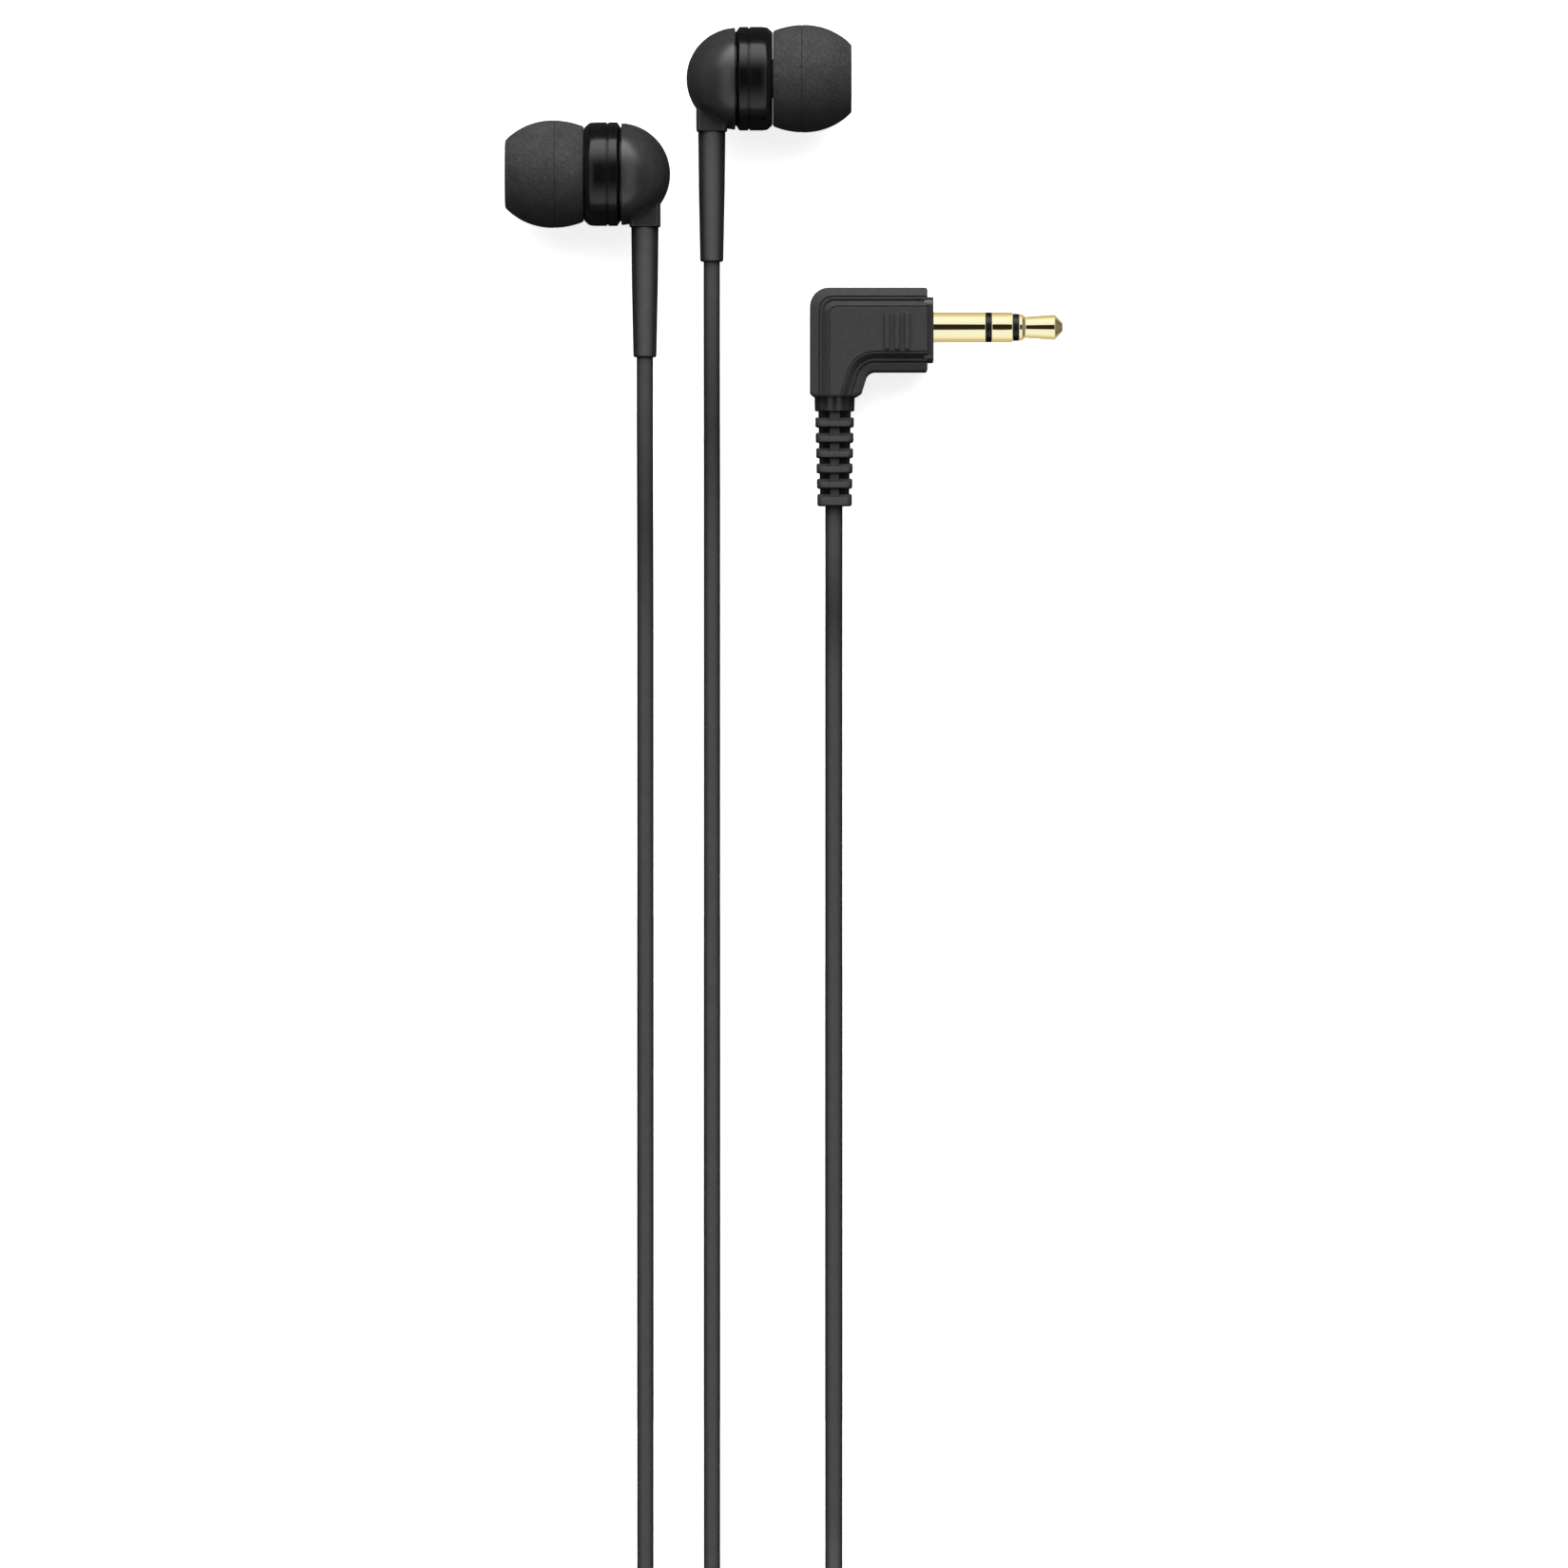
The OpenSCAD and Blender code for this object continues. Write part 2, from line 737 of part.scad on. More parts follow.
function plug_upper_legs() =
  let(slope = shift_run(2 * climb_turn, shaft_z - main_r))
  concat([["go", plug_pivot_y - plug_bend_y - slope - 4]], ramp(climb_turn, shaft_z - main_r), [["go", 4]]);

module plug_lead_mid() {
  color(jacket_grey) bending_piece(low_pose(plug_x, main_r), plug_mid_legs, main_r, main_bore_r);
}

module plug_lead_upper() {
  color(jacket_grey)
    bending_piece(high_pose(plug_x, plug_bend_y, main_r), plug_upper_legs(), main_r, main_bore_r);
}

module plug_core_mid() {
  color(copper) bending_core(low_pose(plug_x, main_r), plug_mid_legs, main_r);
}

module plug_core_upper() {
  color(copper) bending_core(high_pose(plug_x, plug_bend_y, main_r), plug_upper_legs(), main_r);
}

// Splitter where the two thin leads meet the cable
module splitter_body() {
  half = splitter_w / 2;
  neck = main_r + 0.9;
  round_r = 1.2;
  color(shell_grey)
    translate([splitter_x, coil_y - coil_side / 2 + y_shift, 0])
      difference() {
        linear_extrude(splitter_t) {
          polygon([[-half, round_r - splitter_len / 2], [half, round_r - splitter_len / 2], [half, 0],
                   [neck, splitter_len / 2], [-neck, splitter_len / 2], [-half, 0]]);
          translate([round_r - half, -splitter_len / 2]) square([splitter_w - 2 * round_r, 2 * round_r]);
          for (x = [round_r - half, half - round_r])
            translate([x, round_r - splitter_len / 2]) circle(round_r);
        }
        for (x = [-lead_pitch / 2, lead_pitch / 2])
          translate([x, 1 - splitter_len / 2, splitter_z])
            rotate([90, 0, 0]) translate([0, 0, -2]) cylinder(r = lead_r + 0.01, h = 4);
        translate([0, splitter_len / 2 - 3, splitter_z])
          rotate([-90, 0, 0]) cylinder(r = main_r + 0.01, h = 4);
        translate([-2, 3 - splitter_len / 2, splitter_z - 1]) cube([4, splitter_len - 6, 2]);
      }
}

// Plug
module on_plug() {
  translate([face_x, shaft_y + y_shift, shaft_z]) children();
}

module spin_plug() {
  on_plug() rotate([0, 90, 0]) rotate_extrude() children();
}

// L-shaped outline of the housing, drawn from the shaft's axis and the housing's outer side
module housing_outline(inset) {
  r = corner_r - inset / 2;
  top = housing_up - inset;
  low = -housing_down + inset;
  foot = -foot_down + inset;
  right = housing_len - inset / 2;
  foot_right = foot_w - inset;
  knee = foot_right + foot_flare;
  curve = inner_curve + inset / 2;
  difference() {
    union() {
      translate([inset, low]) square([right - inset, top - low]);
      polygon([[inset, foot], [foot_right, foot], [knee, low], [knee, low + 1], [inset, low + 1]]);
      difference() {
        translate([knee - 0.5, low - curve + 0.3]) square([curve + 0.5, curve]);
        translate([knee + curve, low - curve]) circle(curve);
      }
    }
    difference() {
      translate([inset - 1, top - r]) square([r + 1, r + 1]);
      translate([inset + r, top - r]) circle(r);
    }
  }
}

module housing_slab(inset, drop) {
  translate([housing_x, shaft_y + y_shift, drop])
    linear_extrude(housing_t - 2 * drop) housing_outline(inset);
}

module plug_housing() {
  color(shell_grey)
    difference() {
      union() {
        housing_slab(0, rim_drop);
        housing_slab(rim_inset, ledge_drop);
        housing_slab(panel_inset, panel_drop);
        for (i = [0 : grip_ribs - 1])
          translate([housing_x + rib_x + i * rib_pitch - rib_w / 2, shaft_y + y_shift - rib_down, 0])
            cube([rib_w, rib_up + rib_down, housing_t]);
      }
      on_plug()
        rotate([0, -90, 0])
          translate([0, 0, collar_t - 1]) cylinder(r = insert_r + 0.02, h = insert_back + 1);
      translate([plug_x, foot_y + y_shift, shaft_z])
        rotate([-90, 0, 0]) {
          translate([0, 0, -1]) cylinder(r = root_r + 0.02, h = root_h + 1.02);
          cylinder(r = channel_r, h = foot_down + 1);
        }
      on_plug()
        rotate([0, -90, 0])
          translate([0, 0, insert_back]) cylinder(r = wire_pocket_r, h = face_x - insert_back - plug_x + 1);
    }
}

// Rectangle round the origin, of sizes a and b, with round corners
module soft_rectangle(a, b, r) {
  difference() {
    square([a, b], center = true);
    for (side = [-1, 1], end = [-1, 1])
      translate([side * (a / 2 - r), end * (b / 2 - r)])
        scale([side, end])
          difference() {
            square(r + 1);
            circle(r);
          }
  }
}

// Hard insert behind the collar, which holds the contacts
module plug_insert() {
  color(gloss_black)
    difference() {
      union() {
        on_plug()
          rotate([0, 90, 0])
            translate([0, -collar_drop, -collar_t])
              linear_extrude(collar_t) soft_rectangle(collar_w, collar_h, collar_corner);
        spin_plug() section(0, insert_r, -insert_back, -collar_t / 2);
      }
      spin_plug() {
        section(0, held_r, -sleeve_back - 1, 1);
        section(0, pocket_r, -insert_back - 1, -sleeve_back);
        polygon([[0, -mouth], [held_r, -mouth], [held_r + mouth, 0], [held_r + mouth, 1], [0, 1]]);
      }
    }
}

module sleeve_contact() {
  color(gold)
    spin_plug() {
      section(sleeve_bore_r, shaft_r, 0, sleeve_len);
      section(sleeve_bore_r, held_r, -sleeve_back, sleeve_len);
    }
}

module rear_insulator() {
  color(gloss_black)
    spin_plug() {
      section(ring_bore_r, shaft_r, sleeve_len, ring_x);
      section(ring_bore_r, sleeve_bore_r, -sheath_back, ring_x);
    }
}

module ring_contact() {
  color(gold)
    spin_plug() {
      section(rod_sheath_r, shaft_r, ring_x, ring_end_x);
      section(rod_sheath_r, ring_bore_r, -ring_back, ring_end_x);
    }
}

module front_insulator() {
  color(gloss_black)
    spin_plug() {
      section(rod_r, front_gap_r, ring_end_x, tip_x);
      section(rod_r, rod_sheath_r, -rod_sheath_back, tip_x);
    }
}

module tip_contact() {
  color(gold)
    spin_plug()
      polygon([
        [0, -rod_back], [rod_r, -rod_back], [rod_r, tip_x], [tip_flange_r, tip_x],
        [tip_flange_r, tip_x + tip_flange], [tip_neck_r, tip_x + 2 * tip_flange],
        [tip_wide_r, shaft_len - tip_cone], [tip_point_r, shaft_len], [0, shaft_len]
      ]);
}

// Ribbed boot round the plug lead, bridged front and back
module plug_boot() {
  step = (boot_r - boot_end_r) / (boot_ribs - 1);
  color(shell_grey)
    translate([plug_x, foot_y + y_shift, shaft_z])
      rotate([90, 0, 0])
        difference() {
          union() {
            translate([0, 0, -root_h]) cylinder(r = root_r, h = root_h + 1);
            cylinder(r = boot_collar_r, h = boot_collar_h);
            translate([0, 0, 1]) cylinder(r1 = boot_core_r, r2 = boot_core_end_r, h = boot_low - 2);
            for (i = [0 : boot_ribs - 1])
              translate([0, 0, boot_collar_h + boot_pitch * (i + 1) - boot_rib])
                cylinder(r = boot_r - i * step, h = boot_rib + (i == boot_ribs - 1 ? 0.25 : 0));
            translate([-web_w / 2, -web_r, 1]) cube([web_w, 2 * web_r, boot_low - 2]);
          }
          translate([0, 0, -root_h - 1]) cylinder(r = main_r + sleeve_gap, h = boot_low + root_h + 2);
          translate([0, 0, foot_y - plug_pivot_y]) sphere(main_r + bend_gap);
        }
}

// End of the cable, fixed inside the boot
module plug_lead_tail() {
  color(jacket_grey)
    translate([plug_x, plug_tail_y + y_shift, shaft_z])
      rotate([-90, 0, 0])
        difference() {
          cylinder(r = main_r, h = foot_y + root_h - plug_tail_y);
          translate([0, 0, -1]) cylinder(r = main_bore_r, h = foot_y + root_h - plug_tail_y + 2);
        }
}

// Three wires from the cable's end to the contacts
module plug_wires() {
  color(copper) {
    plug_wire(0, 0, rod_back);
    plug_wire(plug_wire_gap, rod_sheath_r + plug_wire_r + 0.05, ring_back);
    plug_wire(-plug_wire_gap, -sleeve_bore_r - plug_wire_r - 0.02, sleeve_back);
  }
}

// One wire, side by side with the others in the cable, which spreads and turns onto the shaft's axis
module plug_wire(near, far, back) {
  first = plug_tail_y + 3;
  spread = foot_y + root_h + 0.1;
  spread_run = near == far ? 0 : shift_run(2 * wire_curve, abs(far - near));
  turn_y = shaft_y - plug_wire_turn;
  shift_legs = near == far ? [] : ramp(wire_curve, far - near);
  start = [plug_x, first + y_shift, shaft_z + near, 90, 0];
  legs = concat(near == far ? [] : [["go", spread - first]], shift_legs,
                [["go", turn_y - (near == far ? first : spread + spread_run)],
                 ["turn", plug_wire_turn, -90],
                 ["go", face_x - back - plug_x - plug_wire_turn]]);
  along(start, legs, plug_wire_r);
}

on_left() ear_tip();  // left_ear_tip
on_left() front_housing();  // left_front_housing
on_left() trim_ring();  // left_trim_ring
on_left() rear_housing();  // left_rear_housing
on_left() nozzle_mesh();  // left_nozzle_mesh
on_left() driver_frame();  // left_driver_frame
on_left() diaphragm();  // left_diaphragm
on_left() voice_coil();  // left_voice_coil
on_left() magnet();  // left_magnet
on_left() pole_plate();  // left_pole_plate
on_left() yoke_cup();  // left_yoke_cup
on_left() terminal_board();  // left_terminal_board
on_left() strain_sleeve();  // left_strain_sleeve
on_left() lead_tail();  // left_lead_tail
on_left() tail_wires();  // left_tail_wires
on_right() ear_tip();  // right_ear_tip
on_right() front_housing();  // right_front_housing
on_right() trim_ring();  // right_trim_ring
on_right() rear_housing();  // right_rear_housing
on_right() nozzle_mesh();  // right_nozzle_mesh
on_right() driver_frame();  // right_driver_frame
on_right() diaphragm();  // right_diaphragm
on_right() voice_coil();  // right_voice_coil
on_right() magnet();  // right_magnet
on_right() pole_plate();  // right_pole_plate
on_right() yoke_cup();  // right_yoke_cup
on_right() terminal_board();  // right_terminal_board
on_right() strain_sleeve();  // right_strain_sleeve
on_right() lead_tail();  // right_lead_tail
on_right() tail_wires();  // right_tail_wires
left_lead_lower();
lead_mid(left_x);  // left_lead_mid
lead_upper(left_x, left_y);  // left_lead_upper
left_core_lower();
core_mid(left_x);  // left_core_mid
core_upper(left_x, left_y);  // left_core_upper
right_lead_lower();
lead_mid(right_x);  // right_lead_mid
lead_upper(right_x, 0);  // right_lead_upper
right_core_lower();
core_mid(right_x);  // right_core_mid
core_upper(right_x, 0);  // right_core_upper
common_cable();
common_core();
plug_lead_mid();
plug_lead_upper();
plug_core_mid();
plug_core_upper();
splitter_body();
plug_housing();
plug_insert();
sleeve_contact();
ring_contact();
tip_contact();
rear_insulator();
front_insulator();
plug_boot();
plug_lead_tail();
plug_wires();
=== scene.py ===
import json
import math

import bmesh
import bpy
import numpy as np
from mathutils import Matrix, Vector


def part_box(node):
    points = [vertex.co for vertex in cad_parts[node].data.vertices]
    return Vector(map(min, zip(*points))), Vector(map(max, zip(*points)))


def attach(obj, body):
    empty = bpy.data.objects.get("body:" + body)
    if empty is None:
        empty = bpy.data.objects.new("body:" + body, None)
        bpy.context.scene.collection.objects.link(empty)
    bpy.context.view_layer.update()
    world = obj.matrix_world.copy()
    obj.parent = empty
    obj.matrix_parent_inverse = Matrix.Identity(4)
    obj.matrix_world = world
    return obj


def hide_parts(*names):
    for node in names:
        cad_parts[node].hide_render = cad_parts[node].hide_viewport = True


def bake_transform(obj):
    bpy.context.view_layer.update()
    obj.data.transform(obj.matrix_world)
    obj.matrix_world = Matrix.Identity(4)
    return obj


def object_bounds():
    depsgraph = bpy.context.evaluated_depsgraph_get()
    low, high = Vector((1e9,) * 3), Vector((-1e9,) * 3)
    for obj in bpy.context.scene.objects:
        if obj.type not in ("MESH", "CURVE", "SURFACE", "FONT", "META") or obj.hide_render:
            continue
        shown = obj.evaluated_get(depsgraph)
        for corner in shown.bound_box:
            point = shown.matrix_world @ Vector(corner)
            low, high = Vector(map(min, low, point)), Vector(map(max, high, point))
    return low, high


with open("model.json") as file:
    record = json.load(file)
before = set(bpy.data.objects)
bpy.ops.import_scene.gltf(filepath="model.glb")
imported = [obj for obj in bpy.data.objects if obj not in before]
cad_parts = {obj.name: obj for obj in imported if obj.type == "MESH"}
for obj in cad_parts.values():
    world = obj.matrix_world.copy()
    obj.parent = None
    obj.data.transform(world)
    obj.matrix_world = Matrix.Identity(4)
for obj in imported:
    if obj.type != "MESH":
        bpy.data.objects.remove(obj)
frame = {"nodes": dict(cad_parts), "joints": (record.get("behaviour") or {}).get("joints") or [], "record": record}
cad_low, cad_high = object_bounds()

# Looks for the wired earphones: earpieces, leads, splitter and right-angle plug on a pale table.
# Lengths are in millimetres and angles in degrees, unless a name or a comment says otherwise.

MM = 0.001
ROUND_STEPS = 144       # segments round a turned piece
CABLE_STEPS = 40        # segments round a cable
FILLET_STEPS = 6        # segments in one rounded edge
SHARP_ANGLE = 32        # edges that turn more than this stay crisp
MERGE, NO_LENGTH = 1e-7, 1e-8       # metres: points this near are one, edges this short are dropped
LEAST_CORNER = 0.02     # smallest corner radius of a block

X, Y, Z = Vector((1, 0, 0)), Vector((0, 1, 0)), Vector((0, 0, 1))


# ---------------------------------------------------------------- places from the frame

def box_mm(node):
    """A CAD node's lowest and highest corners."""
    low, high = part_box(node)
    return low / MM, high / MM


def middle(node):
    """The centre of a CAD node's box."""
    low, high = box_mm(node)
    return (low + high) / 2


def joint_point(name):
    """Where a hinge turns."""
    joint = next(j for j in frame["joints"] if j["name"] == name)
    return Vector(joint["pos_m"]) / MM


# ---------------------------------------------------------------- meshes

def build(name, points, faces, slot, body=None, nodes=(), weighted=True):
    """A smooth, closed mesh piece in metres from points in millimetres."""
    mesh = bpy.data.meshes.new(name)
    mesh.from_pydata([tuple(Vector(p) * MM) for p in points], [], faces)
    shape = bmesh.new()
    shape.from_mesh(mesh)
    bmesh.ops.remove_doubles(shape, verts=shape.verts, dist=MERGE)
    bmesh.ops.dissolve_degenerate(shape, edges=shape.edges, dist=NO_LENGTH)
    bmesh.ops.recalc_face_normals(shape, faces=shape.faces)
    for face in shape.faces:
        face.smooth = True
    shape.to_mesh(mesh)
    shape.free()
    mesh.set_sharp_from_angle(angle=math.radians(SHARP_ANGLE))
    piece = bpy.data.objects.new(name, mesh)
    bpy.context.scene.collection.objects.link(piece)
    if weighted:
        modifier = piece.modifiers.new("even_flats", "WEIGHTED_NORMAL")
        modifier.keep_sharp = True
        modifier.weight = 100
    mesh.materials.append(MATERIALS[slot])
    if body:
        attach(piece, body)
    if nodes:
        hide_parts(*nodes)
    return piece


def fillet(points, steps=FILLET_STEPS, closed=True):
    """An outline with round corners, from (x, y, radius) points; a radius of 0 stays sharp."""
    out = []
    count = len(points)
    for i, (x, y, radius) in enumerate(points):
        here = Vector((x, y))
        if radius <= 0 or (not closed and i in (0, count - 1)):
            out.append((x, y))
            continue
        back = Vector(points[i - 1][:2]) - here
        on = Vector(points[(i + 1) % count][:2]) - here
        half = back.angle(on) / 2
        reach = radius / math.tan(half)
        start = here + back.normalized() * reach
        end = here + on.normalized() * reach
        inwards = (back.normalized() + on.normalized()).normalized()
        centre = here + inwards * radius / math.sin(half)
        a, b = start - centre, end - centre
        turn = a.angle_signed(b)
        for k in range(steps + 1):
            angle = -turn * k / steps
            c, s = math.cos(angle), math.sin(angle)
            out.append((centre.x + a.x * c - a.y * s, centre.y + a.x * s + a.y * c))
    return out


def arc(centre, radius, first, last, steps):
    """Points on a circle between two angles."""
    angles = [math.radians(a) for a in np.linspace(first, last, steps + 1)]
    return [(centre[0] + radius * math.cos(a), centre[1] + radius * math.sin(a)) for a in angles]


def whole_turn(steps):
    """Equal angles once round, in radians."""
    return np.linspace(0, 2 * math.pi, steps, endpoint=False)


def lathe(name, outline, origin, axis, slot, body, nodes=(), steps=ROUND_STEPS):
    """Turns a closed outline of (distance along the axis, radius) points round the axis."""
    side = axis.orthogonal().normalized()
    up = axis.cross(side)
    turns = [side * math.cos(a) + up * math.sin(a) for a in whole_turn(steps)]
    points = [origin + axis * u + turn * max(r, 0) for turn in turns for u, r in outline]
    n = len(outline)
    faces = []
    for i in range(steps):
        j = (i + 1) % steps
        for k in range(n):
            m = (k + 1) % n
            if outline[k][1] <= 0 and outline[m][1] <= 0:
                continue
            faces.append((i * n + k, i * n + m, j * n + m, j * n + k))
    return build(name, points, faces, slot, body, nodes)


def rounded_rect(a, b, r, steps=FILLET_STEPS):
    """Points round a rectangle of half-sizes a and b with corners of radius r."""
    out = []
    for sx, sy, first in ((1, 1, 0), (-1, 1, 90), (-1, -1, 180), (1, -1, 270)):
        out += arc((sx * (a - r), sy * (b - r)), r, first, first + 90, steps)
    return out


def bridge(rings):
    """Faces that join equal rings one after another and close both ends."""
    n = len(rings[0])
    faces = [tuple(range(n)), tuple(range((len(rings) - 1) * n, len(rings) * n))]
    for i in range(len(rings) - 1):
        for k in range(n):
            m = (k + 1) % n
            faces.append((i * n + k, i * n + m, (i + 1) * n + m, (i + 1) * n + k))
    return faces


def soft_ends(low, high, a, b, r, edge, steps=4):
    """Stations of a block with rounded end edges: (place, half-width, half-depth, corner)."""
    out = []
    for k in range(steps + 1):
        t = math.radians(90 * k / steps)
        cut = edge * (1 - math.sin(t))
        place = low + edge * (1 - math.cos(t))
        out.append((place, a - cut, b - cut, max(r - cut, LEAST_CORNER)))
    return out + [(low + high - place, *rest) for place, *rest in reversed(out)]


def loft_rings(stations, origin, along, across, deep, steps=FILLET_STEPS):
    """Soft-cornered rings from (place, half-width, half-depth, corner) stations along a line."""
    rings = []
    for place, a, b, r in stations:
        here = origin + along * place
        rings.append([here + across * p + deep * q for p, q in rounded_rect(a, b, r, steps)])
    return rings


def loft(name, blocks, slot, body, nodes=(), weighted=True):
    """One piece from several closed blocks, each a list of equal rings."""
    points, faces = [], []
    for rings in blocks:
        first = len(points)
        points += [p for ring in rings for p in ring]
        faces += [tuple(first + i for i in f) for f in bridge(rings)]
    return build(name, points, faces, slot, body, nodes, weighted)


def tube_rings(path, radius):
    """Round rings across a path of points."""
    rings = []
    side = None
    for i, p in enumerate(path):
        ahead = (path[min(i + 1, len(path) - 1)] - path[max(i - 1, 0)]).normalized()
        side = ahead.orthogonal() if side is None else side - ahead * side.dot(ahead)
        side.normalize()
        up = ahead.cross(side)
        turns = whole_turn(CABLE_STEPS)
        rings.append([p + (side * math.cos(a) + up * math.sin(a)) * radius for a in turns])
    return rings


def sweep(name, path, radius, bore, slot, nodes=()):
    """A round cable along a path of points: a hollow jacket, or a solid core when the bore is 0."""
    outer = tube_rings(path, radius)
    if bore <= 0:
        points = [p for ring in outer for p in ring]
        return build(name, points, bridge(outer), slot, nodes=nodes, weighted=False)
    inner = tube_rings(path, bore)
    loops = outer + inner[::-1]
    n = CABLE_STEPS
    faces = []
    for i in range(len(loops)):
        j = (i + 1) % len(loops)
        for k in range(n):
            m = (k + 1) % n
            faces.append((i * n + k, i * n + m, j * n + m, j * n + k))
    points = [p for ring in loops for p in ring]
    return build(name, points, faces, slot, nodes=nodes, weighted=False)


# ---------------------------------------------------------------- materials

# Painted reflection on the gold, shown as emission: the tent it copies, as (height of the mirrored direction from
# -1 to 1, colour)
GOLD_PAINTED_REFLECTION = ((-1.0, (0.60, 0.46, 0.20)), (-0.35, (0.70, 0.56, 0.27)), (-0.19, (0.81, 0.68, 0.29)),
             (-0.05, (0.97, 0.86, 0.43)), (0.28, (0.98, 0.92, 0.59)), (0.915, (0.98, 0.93, 0.66)),
             (0.945, (0.03, 0.018, 0.004)), (1.0, (0.028, 0.017, 0.003)))
GOLD_PAINTED_DIMMING = (0.45, 0.85, 1.0, 0.22)    # painted shade on the painted reflection, dimming it ahead of the plug: starts, ends, from, to
GOLD_PAINTED_SHARE = 0.93                       # share of the painted reflection in the gold's look


def shader(name):
    """A new material, its node maker and its principled shader."""
    material = bpy.data.materials.new(name)
    material.use_nodes = True
    tree = material.node_tree
    surface = tree.nodes["Principled BSDF"]

    def node(kind, **values):
        new = tree.nodes.new(kind)
        for key, value in values.items():
            if key in new.inputs:
                new.inputs[key].default_value = value
            else:
                setattr(new, key, value)
        return new

    return material, tree, node, surface


def noise(tree, node, scale_mm, detail=3.0, stretch=(1, 1, 1)):
    """Noise whose features are about scale_mm across, in the object's own space."""
    place = node("ShaderNodeTexCoord")
    mapping = node("ShaderNodeMapping")
    mapping.inputs["Scale"].default_value = stretch
    texture = node("ShaderNodeTexNoise", Scale=1 / (scale_mm * MM), Detail=detail)
    tree.links.new(place.outputs["Object"], mapping.inputs["Vector"])
    tree.links.new(mapping.outputs["Vector"], texture.inputs["Vector"])
    return texture.outputs["Fac"]


def ramp(tree, node, source, low, high, start=0.35, end=0.65):
    """Maps a 0 to 1 value to a colour or a grey between low and high."""
    mixer = node("ShaderNodeValToRGB")
    tree.links.new(source, mixer.inputs["Fac"])
    stops = mixer.color_ramp.elements
    for stop, at, value in ((stops[0], start, low), (stops[1], end, high)):
        stop.position = at
        stop.color = (*value, 1) if isinstance(value, tuple) else (value, value, value, 1)
    return mixer.outputs["Color"]


def product(tree, node, first, second):
    """One colour multiplied by another."""
    mixer = node("ShaderNodeMix", data_type="RGBA", blend_type="MULTIPLY")
    mixer.inputs["Factor"].default_value = 1.0
    tree.links.new(first, mixer.inputs["A"])
    tree.links.new(second, mixer.inputs["B"])
    return mixer.outputs["Result"]


def smooth_step(tree, source, start, end, low=0.0, high=1.0):
    """A value that goes smoothly from low to high between start and end."""
    step = tree.nodes.new("ShaderNodeMapRange")
    step.interpolation_type = "SMOOTHSTEP"
    for name, number in (("From Min", start), ("From Max", end), ("To Min", low), ("To Max", high)):
        step.inputs[name].default_value = number
    tree.links.new(source, step.inputs["Value"])
    return step.outputs["Result"]


def bump(tree, node, surface, height, depth_mm):
    """Fine relief from a 0 to 1 height."""
    bumper = node("ShaderNodeBump", Strength=1.0, Distance=depth_mm * MM)
    tree.links.new(height, bumper.inputs["Height"])
    tree.links.new(bumper.outputs["Normal"], surface.inputs["Normal"])


def plastic(name, dark, light, rough, rough_spread, patch_mm, grain_mm, grain_depth,
            specular=0.5, edge=(1.0, 0.0, 1.0)):
    """Moulded plastic or rubber; edge is a painted shade, its strength where the surface turns away from the view,
    and where that starts and ends.
    """
    material, tree, node, surface = shader(name)
    patches = noise(tree, node, patch_mm, 4)
    grain = noise(tree, node, grain_mm, 3)
    # Painted edge shade: the colour darkens as the surface turns away from the view, leaving a lighter stripe down
    # the middle
    facing = node("ShaderNodeLayerWeight", Blend=0.5)
    colour = product(tree, node, ramp(tree, node, patches, dark, light),
                     ramp(tree, node, facing.outputs["Facing"], 1.0, *edge))
    gloss = ramp(tree, node, grain, rough - rough_spread, rough + rough_spread, 0.3, 0.7)
    tree.links.new(colour, surface.inputs["Base Color"])
    tree.links.new(gloss, surface.inputs["Roughness"])
    bump(tree, node, surface, grain, grain_depth)
    surface.inputs["Specular IOR Level"].default_value = specular
    return material


def silicone():
    """Matte silicone with a fine speckle of lighter grains."""
    material, tree, node, surface = shader("silicone")
    speckle = noise(tree, node, 0.24, 2)
    patches = noise(tree, node, 2.4, 3)
    tint = ramp(tree, node, patches, (0.041, 0.041, 0.0425), (0.050, 0.050, 0.052))
    colour = product(tree, node, tint, ramp(tree, node, speckle, 0.66, 1.32, 0.3, 0.7))
    tree.links.new(colour, surface.inputs["Base Color"])
    tree.links.new(ramp(tree, node, speckle, 0.62, 0.78), surface.inputs["Roughness"])
    bump(tree, node, surface, speckle, 0.02)
    surface.inputs["Specular IOR Level"].default_value = 0.2
    surface.inputs["Sheen Weight"].default_value = 0.05
    return material


def turned_gloss():
    """Glossy black plastic with faint lines left by turning round the earpiece's axis."""
    material, tree, node, surface = shader("gloss_black")
    lines = noise(tree, node, 0.05, 2, (1, 0.02, 0.02))
    patches = noise(tree, node, 1.6, 3)
    tree.links.new(ramp(tree, node, patches, 0.003, 0.005), surface.inputs["Base Color"])
    tree.links.new(ramp(tree, node, lines, 0.14, 0.24), surface.inputs["Roughness"])
    bump(tree, node, surface, lines, 0.0012)
    surface.inputs["Coat Weight"].default_value = 0.3
    surface.inputs["Coat Roughness"].default_value = 0.12
    return material


def metal(name, dark, light, rough, line_mm, depth, stretch=(1, 1, 1)):
    """Plated or turned metal with fine lines: the material and its shader's parts."""
    material, tree, node, surface = shader(name)
    lines = noise(tree, node, line_mm, 2, stretch)
    tree.links.new(ramp(tree, node, lines, dark, light), surface.inputs["Base Color"])
    tree.links.new(ramp(tree, node, lines, rough * 0.8, rough * 1.25), surface.inputs["Roughness"])
    bump(tree, node, surface, lines, depth)
    surface.inputs["Metallic"].default_value = 1.0
    return material, tree, node, surface


